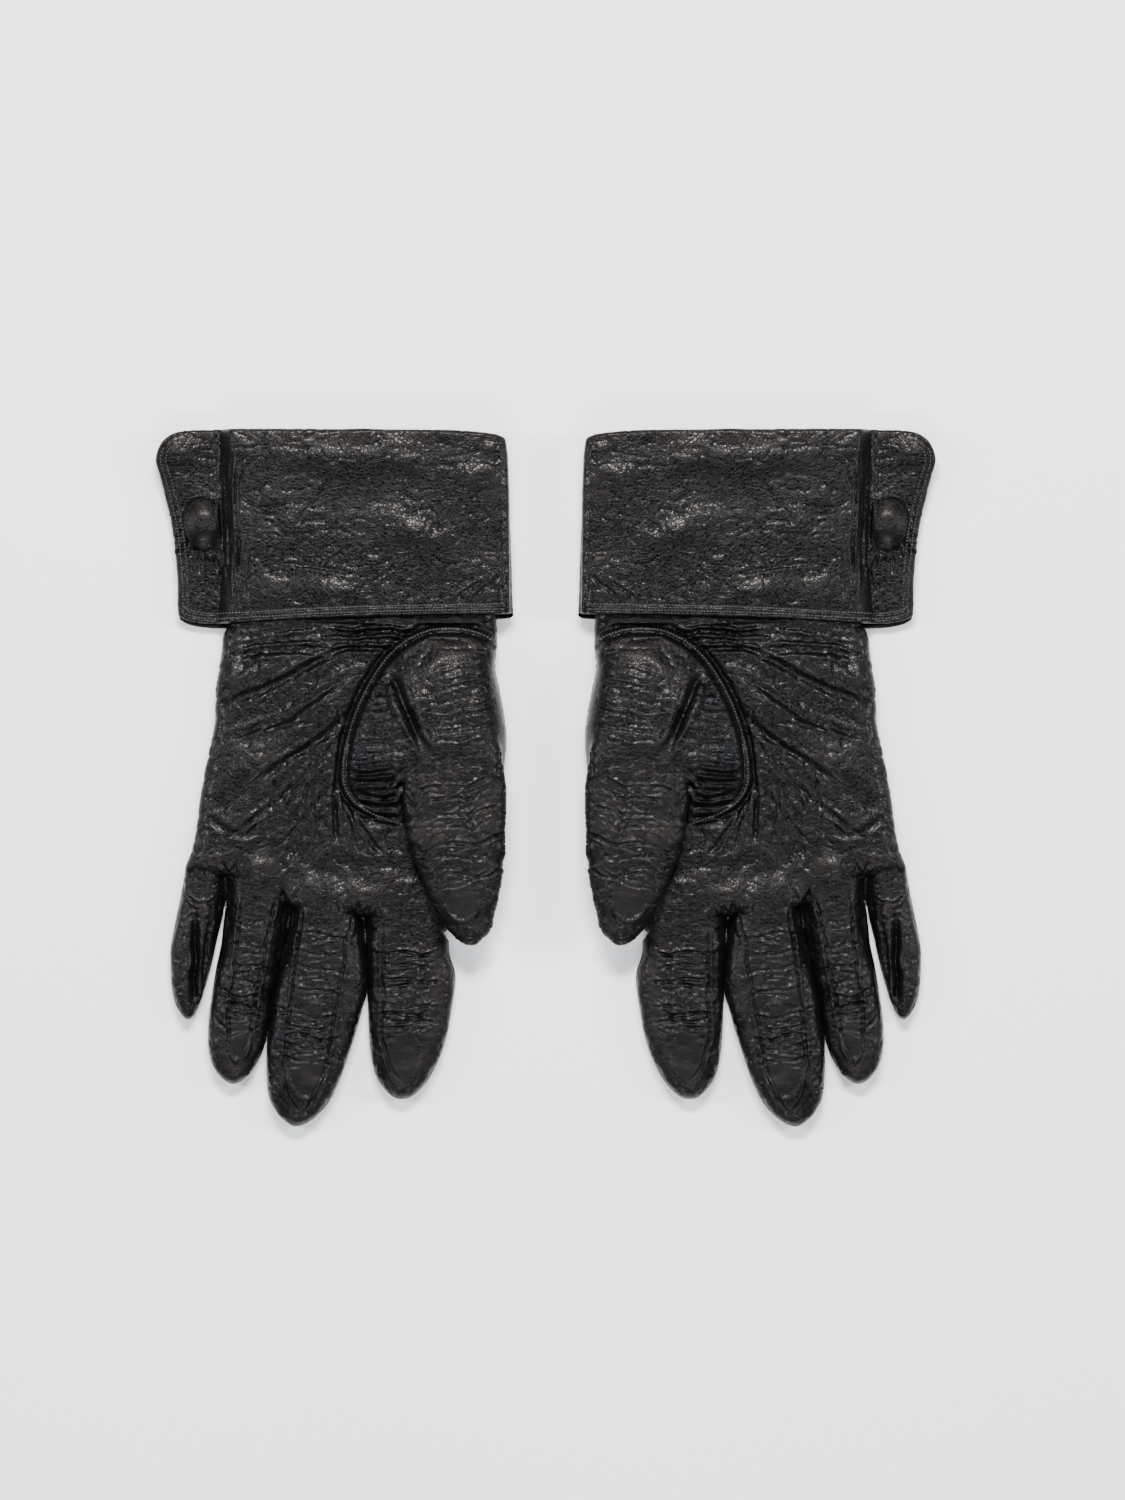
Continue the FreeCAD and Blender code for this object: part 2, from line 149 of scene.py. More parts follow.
def spline(points, per_span=10, closed=False):
    """A smooth line through the points."""
    p = np.asarray(points, float)
    if closed:
        p = np.vstack([p[-1], p, p[0], p[1]])
    else:
        p = np.vstack([2 * p[0] - p[1], p, 2 * p[-1] - p[-2]])
    out = []
    for a, b, c, d in zip(p[:-3], p[1:-2], p[2:-1], p[3:]):
        for t in np.arange(per_span) / per_span:
            out.append(0.5 * (2 * b + (c - a) * t + (2 * a - 5 * b + 4 * c - d) * t ** 2
                              + (3 * b - a - 3 * c + d) * t ** 3))
    if not closed:
        out.append(p[-2])
    return np.array(out)


def to_line(x, y, line):
    """Distance to a line, and how far along it, from 0 to 1."""
    step = np.hypot(*np.diff(line, axis=0).T)
    start = np.concatenate([[0], np.cumsum(step)])
    best = np.full(x.shape, 1e9)
    along = np.zeros(x.shape)
    for i, (a, b) in enumerate(zip(line[:-1], line[1:])):
        d = b - a
        t = np.clip(((x - a[0]) * d[0] + (y - a[1]) * d[1]) / max(d @ d, 1e-9), 0, 1)
        dist = np.hypot(x - a[0] - t * d[0], y - a[1] - t * d[1])
        near = dist < best
        best = np.where(near, dist, best)
        along = np.where(near, (start[i] + t * step[i]) / start[-1], along)
    return best, along


def offset_line(line, amount):
    """The line moved sideways, to its left."""
    along = np.gradient(line, axis=0)
    across = np.stack([-along[:, 1], along[:, 0]], 1) / np.linalg.norm(along, axis=1, keepdims=True)
    return line + amount * across


def inside_distance(x, y, outline):
    """Distance to a closed outline, positive inside it."""
    loop = np.vstack([outline, outline[:1]])
    distance = to_line(x, y, loop)[0]
    inside = np.zeros(x.shape, bool)
    for (ax, ay), (bx, by) in zip(loop[:-1], loop[1:]):
        if ay == by:
            continue
        crosses = ((ay > y) != (by > y)) & (x < (bx - ax) * (y - ay) / (by - ay) + ax)
        inside ^= crosses
    return np.where(inside, distance, -distance)


class Relief:
    """Height added to a surface seen from above, on a plan grid, from folds, grooves and ridges."""

    def __init__(self, x, y, seed):
        self.x, self.y = x, y
        self.wx = x + 0.7 * noise(x / 7, y / 7, seed) + 0.12 * noise(x / 2.5, y / 2.5, seed + 1)
        self.wy = y + 0.7 * noise(x / 7, y / 7, seed + 2) + 0.12 * noise(x / 2.5, y / 2.5, seed + 3)
        self.height = np.zeros(x.shape)

    def near(self, points, reach):
        """The part of the grid within reach of some points, or None."""
        low, high = points.min(0) - reach, points.max(0) + reach
        rows = np.where((self.x[:, 0] > low[0]) & (self.x[:, 0] < high[0]))[0]
        cols = np.where((self.y[0] > low[1]) & (self.y[0] < high[1]))[0]
        if len(rows) == 0 or len(cols) == 0:
            return None
        return slice(rows[0], rows[-1] + 1), slice(cols[0], cols[-1] + 1)

    def stroke(self, points, width, height, lip, fade=0.25, straight=False):
        """A groove (negative height) or ridge along a smooth line, with raised lips beside it."""
        line = spline(points)
        window = self.near(line, 5 * width + 2)
        if window is None:
            return
        x, y = (self.x, self.y) if straight else (self.wx, self.wy)
        distance, along = to_line(x[window], y[window], line)
        ends = ease(along, 0, fade) * ease(1 - along, 0, fade)
        shape = np.exp(-(distance / width) ** 1.6) if height < 0 else np.exp(-(distance / width) ** 2)
        beside = np.exp(-((distance - 2.1 * width) / (0.9 * width)) ** 2)
        self.height[window] += ends * (height * shape + lip * beside)

    def strokes(self, table):
        """Several strokes: points, width, height and lip of each."""
        for points, width, height, lip in table:
            self.stroke(points, width, height, lip)

    def swell(self, centre, size, height, turn):
        """A soft raised patch, longer along one direction."""
        c, s = math.cos(math.radians(turn)), math.sin(math.radians(turn))
        dx, dy = self.wx - centre[0], self.wy - centre[1]
        a, b = (dx * c + dy * s) / size[0], (-dx * s + dy * c) / size[1]
        self.height += height * np.exp(-(a * a + b * b))

    def swells(self, table):
        """Several swells: centre, size, height and turn of each."""
        for row in table:
            self.swell(*row)


# ---- Fields to meshes -------------------------------------------------------------------------
CORNERS = np.array([(i, j, k) for i in (0, 1) for j in (0, 1) for k in (0, 1)])
CELL_EDGES = [(a, b) for a in range(8) for b in range(a + 1, 8)
              if np.abs(CORNERS[a] - CORNERS[b]).sum() == 1]


class Space:
    """A block of grid points in the glove's plane."""

    def __init__(self, low, high):
        self.low = np.array(low, float)
        self.axes = [np.arange(a, b + GRID / 2, GRID) for a, b in zip(low, high)]
        self.x, self.y = np.meshgrid(self.axes[0], self.axes[1], indexing="ij")
        self.z = self.axes[2][None, None, :]

    def surface(self, field):
        """Vertices in millimetres and four-sided faces of the surface where the field is zero."""
        inside = field > 0
        nx, ny, nz = field.shape
        count = np.zeros((nx - 1, ny - 1, nz - 1), np.int8)
        for i, j, k in CORNERS:
            count += inside[i:nx - 1 + i, j:ny - 1 + j, k:nz - 1 + k]
        mixed = (count > 0) & (count < 8)
        cells = np.argwhere(mixed)
        index = np.full(mixed.shape, -1, np.int64)
        index[mixed] = np.arange(len(cells))
        values = [field[tuple((cells + corner).T)] for corner in CORNERS]
        total, hits = np.zeros((len(cells), 3)), np.zeros(len(cells))
        for a, b in CELL_EDGES:
            cut = (values[a] > 0) != (values[b] > 0)
            t = values[a][cut] / (values[a][cut] - values[b][cut])
            total[cut] += CORNERS[a] + t[:, None] * (CORNERS[b] - CORNERS[a])
            hits[cut] += 1
        points = self.low + GRID * (cells + total / hits[:, None])
        faces = []
        for axis in range(3):
            u, v = (axis + 1) % 3, (axis + 2) % 3
            ahead = [slice(None)] * 3
            behind = [slice(None)] * 3
            ahead[axis], behind[axis] = slice(1, None), slice(None, -1)
            first, second = inside[tuple(behind)], inside[tuple(ahead)]
            for rising in (False, True):
                at = np.argwhere(~first & second if rising else first & ~second)
                at = at[(at[:, u] > 0) & (at[:, v] > 0) & (at[:, u] < field.shape[u] - 1)
                        & (at[:, v] < field.shape[v] - 1)]
                quad = []
                for du, dv in ((1, 1), (0, 1), (0, 0), (1, 0)):
                    corner = at.copy()
                    corner[:, u] -= du
                    corner[:, v] -= dv
                    quad.append(index[tuple(corner.T)])
                quad = np.stack(quad, 1)
                faces.append(quad[:, ::-1] if rising else quad)
        return points, np.vstack(faces)


def slab(distance, z, mid, half, edge, power=2.3):
    """A flattened solid with rounded sides, from the distance inside its outline."""
    a = np.clip(1 - distance[:, :, None] / edge, 0, None)
    b = np.abs(z - mid) / half
    return half * (1 - (a ** power + b ** power) ** (1 / power))


def join(first, second, soft):
    """The union of two fields with a soft inside corner."""
    h = np.clip(0.5 + 0.5 * (first - second) / soft, 0, 1)
    return second * (1 - h) + first * h + soft * h * (1 - h)


# ---- Pieces -----------------------------------------------------------------------------------
def vertex_normals(points, faces):
    """Smooth normals of a closed mesh."""
    a, b, c, d = (points[faces[:, i]] for i in range(4))
    flat = np.cross(c - a, d - b)
    normals = np.zeros(points.shape)
    for i in range(4):
        np.add.at(normals, faces[:, i], flat)
    return normals / np.maximum(np.linalg.norm(normals, axis=1, keepdims=True), 1e-9)


def make_piece(name, points, faces, sign, material, body, painted, normals):
    """One mesh object in the row frame, with its undeformed place and its painted values."""
    place = to_row(points, sign)
    faces = faces if sign > 0 else faces[:, ::-1]
    mesh = bpy.data.meshes.new(name)
    mesh.vertices.add(len(place))
    mesh.vertices.foreach_set("co", place.astype(np.float32).ravel())
    width = faces.shape[1]
    mesh.loops.add(faces.size)
    mesh.loops.foreach_set("vertex_index", faces.astype(np.int32).ravel())
    mesh.polygons.add(len(faces))
    mesh.polygons.foreach_set("loop_start", np.arange(0, faces.size, width, dtype=np.int32))
    mesh.update(calc_edges=True)
    mesh.polygons.foreach_set("use_smooth", np.ones(len(faces), bool))
    rest = mesh.attributes.new("plane_mm", "FLOAT_VECTOR", "POINT")
    rest.data.foreach_set("vector", np.asarray(points, np.float32).ravel())
    for key, values in painted.items():
        layer = mesh.attributes.new(key, "FLOAT", "POINT")
        layer.data.foreach_set("value", values.astype(np.float32))
    if normals is not None:
        mesh.normals_split_custom_set_from_vertices((normals * (sign, 1.0, 1.0)).tolist())
    piece = bpy.data.objects.new(name, mesh)
    bpy.context.scene.collection.objects.link(piece)
    mesh.materials.append(material)
    if body:
        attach(piece, body)
    return piece


# ---- Outlines of the flat leather shapes, seen from above ---------------------------------------
HAND = spline([(62, 8.5), (62.6, 0), (63, -10), (62, -21), (65.4, -38), (66.2, -52), (63, -72), (53, -98),
               (45.5, -116), (41, -123), (27, -120.5), (11, -116.2), (2, -114), (-16.5, -113), (-22, -108),
               (-30, -104), (-40.5, -101.5), (-50, -98), (-56.6, -98.5), (-54.2, -90), (-50.4, -68),
               (-46.2, -42), (-43.9, -22), (-43.2, -12), (-42, -7), (-39.6, -2.6), (-38.5, 3), (-38.2, 9),
               (-37, 11), (-30, 12), (12, 12), (53, 12), (60.5, 11)], 6, closed=True)
OUTLINES = {
    "little": [(-54, -92), (-58.9, -110), (-62.2, -126), (-62.4, -138), (-60.8, -149), (-56.2, -155.4),
               (-52.2, -150.5), (-48.6, -139.5), (-46, -125), (-44, -111), (-43.5, -94)],
    "ring": [(-37.5, -95), (-39.5, -111), (-41.3, -125), (-44.6, -137.5), (-47.4, -152), (-48.2, -165),
             (-45.8, -174.5), (-39.3, -180.3), (-33, -177), (-28, -169), (-25.8, -160), (-24.6, -147),
             (-21.6, -131), (-19.6, -117), (-21, -98)],
    "middle": [(-13, -100), (-14.6, -117), (-18.8, -132), (-22.6, -147), (-24.9, -160), (-25.7, -176),
               (-23.7, -188.2), (-15, -196.6), (-5, -191.2), (1.1, -181.5), (6, -167.5), (10.6, -152.5),
               (12.6, -141), (10.9, -126), (8.4, -115), (7, -100)],
    "index": [(15.5, -106), (13.8, -123), (13.6, -141), (13.8, -163), (16.3, -177), (21.5, -184.4),
              (26.8, -186.2), (32, -183.6), (37, -177.5), (42.2, -165.5), (45.2, -152), (46.6, -139),
              (44.2, -130), (44, -118), (40, -106)],
    "thumb": [(33, -46), (27.2, -62), (27.4, -78), (29.8, -91), (33, -100), (37.8, -110.5), (45.4, -122.9),
              (54, -127.2), (61.4, -118.5), (65.3, -98), (66.5, -80), (66.4, -63), (60, -45)],
}
OUTLINES = {name: spline(points, 6, closed=True) for name, points in OUTLINES.items()}
SEAM = [(63.5, -12.5), (58.5, -7.8), (49, -5.2), (37.5, -5.6), (28.8, -9.2), (22, -14.6), (16.2, -22),
        (11.4, -30.5), (8, -38.5), (5.2, -47.5), (3.6, -57), (3.8, -65.5), (7.2, -71.8), (13.5, -76.4),
        (20.5, -79.2), (26.2, -81.2)]
MOUND = spline(SEAM + [(36, -74), (48, -66), (70, -62), (74, -30)], 5, closed=True)
MOUND_RISE, MOUND_SLOPE = 11.6, 21.0     # the ball of the thumb: how high, and how wide its slope
FINGER_HALF = {"little": 5.0, "ring": 5.5, "middle": 5.8, "index": 5.6, "thumb": THUMB_HALF}
FOURCHETTES = {"little": [(1, 2.1, 34)], "ring": [(-1, 2.1, 34), (1, 2.4, 50)],     # side, width, reach
               "middle": [(-1, 2.4, 50), (1, 1.9, 27)], "index": [(-1, 1.6, 27)]}
FINGER_ROUND = {"little": 5.8, "ring": 7.0, "middle": 7.5, "index": 7.5, "thumb": 10.0}


# ---- Folds and wrinkles -----------------------------------------------------------------------
def palm_relief(x, y):
    """Folds of the palm: broad diagonal ones fan out from the top of the thumb seam."""
    r = Relief(x, y, 11)
    r.strokes((
        ([(9, -9), (-10, -13), (-28, -15.5), (-44, -15)], 1.0, -0.7, 0.4),
        ([(8, -11), (-6, -18), (-22, -26.5), (-46, -37)], 1.3, -1.0, 0.6),
        ([(11, -20), (-2, -28.5), (-18, -39.5), (-46, -49)], 1.1, -0.7, 0.5),
        ([(9, -33), (0, -44), (-12, -53), (-34, -66)], 1.2, -0.9, 0.5),
        ([(4, -45), (-6, -57), (-22, -72), (-44, -88)], 0.9, -0.5, 0.35),
        ([(2, -62), (-9, -76), (-24, -92)], 0.8, -0.45, 0.25),
        ([(-50, -76), (-38, -84), (-26, -82)], 1.3, -0.6, 0.35),
        ([(60, -3.4), (30, -3.2), (0, -5), (-41, -6.5)], 1.1, -0.9, 0.5),
        ([(45, -4), (20, -6.5), (-8, -8.5), (-41, -10.5)], 1.2, -1.0, 0.5)))
    r.swells((
        ((-29, -22), (17, 4.8), 2.1, 24), ((-7, -38), (17, 6.0), 2.4, 42), ((-30, -58), (15, 7), 1.7, 32),
        ((8, -109), (19, 6.5), 2.2, 6), ((-38, -79), (9, 6), 1.3, 20), ((-14, -92), (10, 12), -0.9, 10),
        ((-47, -96), (6, 8), 1.2, -10), ((-30, -98), (7, 5), 1.0, 0), ((24, -100), (8, 12), 0.7, 60)))
    for i in range(13):
        top = 3.5 - 2.0 * i + 0.8 * math.sin(5.1 * i)
        low = -86 + 3.0 * abs(i - 5) + 5 * math.sin(2.3 * i)
        r.stroke([(top, -58 - 1.1 * i), (top - 0.9, -72), (top - 0.5 + 0.6 * math.sin(3.0 * i), low)],
                 0.55, -0.42, 0.18)
    slant = creases((x * 0.83 + y * 0.55) / 7.5, (y * 0.83 - x * 0.55) / 4.2, 31, 0.10)
    cross = creases(x / 3.4, y / 5.2, 37, 0.10)
    upright = creases(x / 2.3, y / 9.0, 39, 0.12) * np.exp(-((x - 2 - 0.25 * (y + 50)) / 16) ** 2)
    r.height -= 0.48 * slant + 0.34 * cross + 0.36 * upright
    r.height += 0.35 * noise(x / 13, y / 9, 41) + 0.22 * noise(x / 5, y / 4, 43)
    return r


def wrist_gathers(r):
    """Cross folds where the elastic draws the wrist in, and puckers round the forks of the fingers."""
    for i in range(6):
        y = -4.2 - 2.2 * i
        tilt = 1.6 * math.sin(2.1 * i)
        r.stroke([(-41, y - 1 - tilt), (-14, y + 0.5), (18, y + 0.4 - tilt), (40, y + 1)], 0.8, -0.7, 0.35)
    for centre, rays in (((-40, -103), 7), ((-17, -114.5), 7), ((10.5, -118), 8)):
        for i in range(rays):
            angle = math.pi * (0.12 + 0.76 * i / (rays - 1))
            far = 7.5 + 2.5 * math.sin(3.7 * i)
            dx, dy = math.cos(angle), math.sin(angle)
            r.stroke([(centre[0] + 1.5 * dx, centre[1] + 1.5 * dy),
                      (centre[0] + far * dx, centre[1] + far * dy)], 0.75, -0.75, 0.35)


def thumb_base_relief(r):
    """The welt of the thumb seam, the deep fold inside it, and the swirl at the crotch."""
    line = spline(SEAM, 4)
    r.stroke(offset_line(line, -1.6)[::4], 1.0, -1.8, 0.0, 0.12, straight=True)
    r.stroke(SEAM, 0.6, 0.8, 0.0, 0.05, straight=True)
    r.stroke(offset_line(line, 1.9)[::4], 0.5, -0.6, 0.0, 0.12, straight=True)
    r.strokes((
        ([(21.5, -19), (25.5, -31), (30.5, -42.5), (36, -52), (41.5, -59.5)], 1.5, -2.6, 1.0),
        ([(42, -59), (36, -61.5), (29, -63.5), (22.5, -69)], 1.3, -1.8, 0.8),
        ([(33, -57.5), (27, -60), (20, -66.5), (14.5, -70)], 0.9, -1.0, 0.5),
        ([(1.6, -60), (0.9, -70), (0.6, -79), (1.8, -90)], 0.9, -1.3, 0.5),
        ([(5, -68), (9, -78), (14.5, -87), (21, -95)], 0.8, -0.8, 0.35),
        ([(4.4, -70), (6.8, -83), (10, -96)], 0.7, -0.6, 0.3)))
    for i in range(12):
        y = -19 - 3.9 * i
        rise = 2.2 + 1.2 * math.sin(1.9 * i)
        r.stroke([(37 + 3 * math.sin(2.7 * i), y - 3.0), (51, y - 1.0 + math.sin(4.1 * i)), (67, y + rise)],
                 0.6, -0.34 - 0.14 * math.sin(3.3 * i), 0.2)
    for i in range(8):
        y = -27 - 4.4 * i
        r.stroke([(11.5 - 0.8 * i, y), (19, y + 0.6 * math.sin(2.7 * i)), (26 + 0.8 * i, y + 0.9)],
                 0.6, -0.3, 0.18)
    for i in range(5):
        y = -59.5 - 4.0 * i
        r.stroke([(6 + 1.2 * i, y - 0.5), (14 + 0.8 * i, y - 2.2 + math.sin(2.2 * i)), (27, y - 0.6 * i)],
                 0.8, -0.8, 0.9)


FINGER_FOLDS = {   # along the finger: how far, how deep, how much it leans
    "little": [(4, 1.0, 1.2), (10, 0.7, -0.8), (15, 0.6, 0.6)],
    "ring": [(3, 0.7, 0.5), (11, 0.6, -0.6), (18.5, 0.9, 0.4), (24.5, 0.7, -0.4), (30, 1.1, 0.9),
             (34, 1.0, -1.2), (37, 0.8, 0.5), (43, 0.7, 1.4)],
    "middle": [(2, 0.8, -0.8), (9, 0.8, 0.6), (15, 0.6, 0.2), (23, 0.9, 0.9), (33, 0.8, -0.3), (38, 1.0, 0.6),
               (41.5, 1.1, -0.9), (45, 0.8, 0.4), (50, 1.0, 0.8)],
    "index": [(2.5, 1.2, -0.5), (7, 0.9, 0.5), (12.5, 1.1, 0.3), (15.5, 0.6, -0.6), (22, 0.9, 0.4),
              (25.5, 1.2, -0.3), (28, 0.8, 0.3), (31, 0.5, 0.2)],
    "thumb": [(5, 1.0, -1.5), (10, 0.7, -2.0), (15.5, 0.8, -1.2), (21, 0.6, -2.2), (27, 0.9, -1.6),
              (33, 0.7, -2.4), (40, 0.9, -2.8)],
}
FOLD_HALF = {"little": 6.4, "ring": 9.6, "middle": 13.0, "index": 14.0, "thumb": 18.0}   # their half width
SEAM_SIDES = {"ring": (-1, 1), "middle": (-1, 1), "index": (-1,)}   # where side seams show from above
PADS = {"index": ((-0.6, 41.5), (6.6, 12.2)), "middle": ((1.4, 54.5), (7.0, 10.2)),      # centre, size
        "ring": ((0.5, 47), (4.5, 8)), "thumb": ((-1.5, 48), (6.5, 8))}


def finger_relief(name, x, y):
    """A digit's cross wrinkles, its side seams that meet in a V, and its smooth pad."""
    digit = DIGIT[name]
    u, v = digit.local(x, y)
    length = digit.length
    half = FOLD_HALF[name]
    seed = DIGITS.index(name)
    r = Relief(x, y, 100 + seed)

    def at(points):
        return [digit.point(a, b, 0)[:2] for a, b in points]

    for number, (along, depth, lean) in enumerate(FINGER_FOLDS[name]):
        left = 1 - 0.3 * math.sin(2.3 * number) ** 2
        right = 1 - 0.4 * math.cos(1.7 * number + 1) ** 2
        lean *= 1.5
        across = at([(-left * half, along - lean), (-0.3 * half, along + 0.6 * lean),
                     (0.4 * half, along - 0.2 * lean), (right * half, along + lean)])
        r.stroke(across, 0.5, -0.62 * depth, 0.34 * depth, 0.12)
        slanting = at([(-0.7 * half * right, along + 4.0), (0.1 * half, along + 1.6),
                       (0.9 * half * left, along - 2.5)])
        r.stroke(slanting, 0.42, -0.45 * depth, 0.25 * depth, 0.15)
    inner = half - 4.2
    for side in SEAM_SIDES.get(name, ()):
        bend = [(side * (inner + 0.6), -9), (side * inner, 8), (side * (inner - 0.6), 0.5 * length),
                (side * (inner - 1.2), length - 22), (side * 0.55 * inner, length - 12), (0.5, length - 5.5)]
        r.stroke(at(bend), 0.48, -0.62, 0.3, 0.06)
        r.stroke(at([(a + side * 1.5, b) for a, b in bend]), 0.7, 0.36, 0.0, 0.1)
    if name == "little":
        r.stroke(at([(-2.0, 6), (-0.4, 20), (0.6, 34), (1.0, 46)]), 1.2, -2.4, 1.0)
        r.stroke(at([(4.5, 4), (4.0, 20), (3.6, 38)]), 0.6, -0.8, 0.4)
    calm = np.zeros(x.shape)
    if name in PADS:
        (pu, pv), (su, sv) = PADS[name]
        away = np.hypot((u - pu) / su, (v - pv) / sv)
        calm = 1 - ease(away, 0.65, 1.05)
        rim = np.exp(-((away - 1.02) / 0.13) ** 2) * ease(v, pv - 2, pv + 5)
        r.height += 0.75 * rim + 0.35 * calm
    bunched = 0.45 + 0.55 * ease(noise(u / 14, v / 9, 290 + seed), -0.3, 0.4)
    across = bunched * creases(u / 7.5, v / 4.2, 210 + seed, 0.09)
    fine = creases(u / 4.2, v / 2.6, 230 + seed, 0.10)
    slant = creases((u + v) / 6, (u - v) / 3.4, 270 + seed, 0.10)
    rough = 1 - 0.85 * calm
    r.height = r.height * (1 - 0.4 * calm) - rough * (0.40 * across + 0.2 * fine + 0.36 * slant)
    r.height += 0.3 * noise(u / 8, v / 6, 250) + 0.12 * noise(u / 3, v / 2.5, 251)
    return r.height, calm


def back_relief(x, y):
    """The back of the hand lies on the table: shallow folds only."""
    lines = -0.18 * creases(x / 12, y / 8, 301) - 0.1 * creases(x / 5, y / 4, 307)
    return lines + 0.25 * noise(x / 15, y / 15, 311)


# ---- The skin of the hand and digits ----------------------------------------------------------
def upper(z, mid, half):
    """1 on the upper face of a flattened shape and 0 on its lower face."""
    return ease(z, mid - 0.5 * half, mid + 0.35 * half)


def hand_field(space):
    """The flattened hand with the ball of the thumb on it."""
    x, y, z = space.x, space.y, space.z
    distance = inside_distance(x, y, HAND)
    relief = palm_relief(x, y)
    wrist_gathers(relief)
    rise = inside_distance(x, y, MOUND)
    steep = 0.05 + 0.27 * ease(y, -68, -44)
    mound = MOUND_RISE * (steep * ease(rise, -0.6, 4.0) + (1 - steep) * ease(rise, -3, MOUND_SLOPE))
    mound *= np.clip(1 - np.clip(1 - distance / 8.5, 0, 1) ** 2.4, 0, 1) ** 0.5
    base = Relief(x, y, 17)
    thumb_base_relief(base)
    folds = relief.height * (1 - ease(rise, -1, 2)) + base.height
    lines = -0.48 * creases(x / 6.5, y / 3.0, 51, 0.11) - 0.34 * creases(x / 3.6, y / 5.5, 55, 0.11)
    folds += ease(rise, 0, 4) * (lines + 0.5 * noise(x / 9, y / 7, 53))
    folds = np.where(y > -4, np.maximum(folds, -0.1 - 0.3 * np.clip(-2 - y, 0, 2)), folds)
    under_thumb = ease(inside_distance(x, y, OUTLINES["thumb"]), -1, 3) * (1 - ease(y, -70, -58))
    folds = folds * (1 - 0.4 * under_thumb) - 0.4 * under_thumb
    field = slab(distance, z, HAND_MID, HAND_HALF, EDGE_ROUND)
    top = upper(z, HAND_MID, HAND_HALF)
    return field + top * (folds + mound)[:, :, None] + (1 - top) * back_relief(x, y)[:, :, None]


def digit_field(name, space):
    """One finger, or the thumb, reaching into the hand."""
    x, y, z = space.x, space.y, space.z
    half = FINGER_HALF[name]
    distance = inside_distance(x, y, OUTLINES[name])
    u, v = DIGIT[name].local(x, y)
    if name == "thumb":
        mid = THUMB_MID - 1.2 * ease(v, 20, 62)
    else:
        mid = half + 0.2 + 0.15 * noise(u / 9, v / 9, 71)
    mid = mid[:, :, None]
    relief = finger_relief(name, x, y)[0]
    top = upper(z, mid, half)
    field = slab(distance, z, mid, half, FINGER_ROUND[name])
    if name != "thumb":
        spare = np.zeros(x.shape)
        for side, wide, reach in FOURCHETTES[name]:
            spare += wide * np.clip(1.25 * (reach - v) / reach, 0, 1) * (side * u > 0)
        strip = slab(distance + spare, z, 3.1, 2.9, 3.0)
        field = join(field, strip, 1.5)
    under = (1 - top) * 0.5 * back_relief(x, y)[:, :, None]
    return field + top * (relief * ease(v, -12, -5))[:, :, None] + under


# ---- Cuff --------------------------------------------------------------------------------------
CUFF = spline([(-59.6, 1), (-59.9, 12), (-60.6, 21), (-61.6, 30.5), (-63.6, 41), (-66.3, 51.5),
               (-68.3, 59.5), (-66.4, 65.4), (-62.2, 69.2), (-55.5, 70.7), (-46, 71), (-10, 71), (30, 70.8),
               (56, 69.8), (64.8, 68.2), (66.6, 64.6), (67.4, 52), (68.2, 25), (68.9, 4), (68.6, 0.6),
               (62, -0.2), (23, -0.9), (-8, -1.9), (-30, -3.2), (-46, -3.7), (-54.5, -2.7), (-58.4, -1)],
              8, closed=True)
CUFF_TOP, FLAP_MID = 13.5, 6.0   # middle heights of the cuff's front and of its outer end
BACK_MID = 1.15
CUFF_HALF, BACK_HALF = 1.0, 0.95     # half thicknesses of its front and its back
OUTER_SIDE, FOLD_EDGE = 67.8, 70.6   # where the cuff's thumb side and its fold turn down
CREASE = (-44.2, -37.6)      # where the front flap drops to its outer end
HEM_ROWS = (2.0, 4.0)        # stitch rows, from the cuff's edge
SNAP_SIZE, SNAP_BULGE = (7.4, 9.8), 2.1
snap_low, snap_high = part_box("left_snap_cap")
SNAP = ((snap_low.x + snap_high.x) * 500 - PLANE_X, (snap_low.y + snap_high.y) * 500 - PLANE_Y)


def hem_relief(r, distance, amount=1.0):
    """A rolled edge and the grooves that the two stitch rows lie in, along hem and outer edge."""
    sewn = amount * (1 - ease(r.y, 62, 68) * (r.x > -62)) * (1 - 0.7 * ease(r.x, 58, 62) * (r.y > 5))
    r.height += sewn * 0.45 * np.exp(-((distance - 0.95) / 0.6) ** 2)
    r.height += sewn * 0.22 * np.exp(-((distance - 3.0) / 0.6) ** 2)
    for row in HEM_ROWS:
        r.height -= sewn * 0.42 * np.exp(-((distance - row) / 0.45) ** 2)


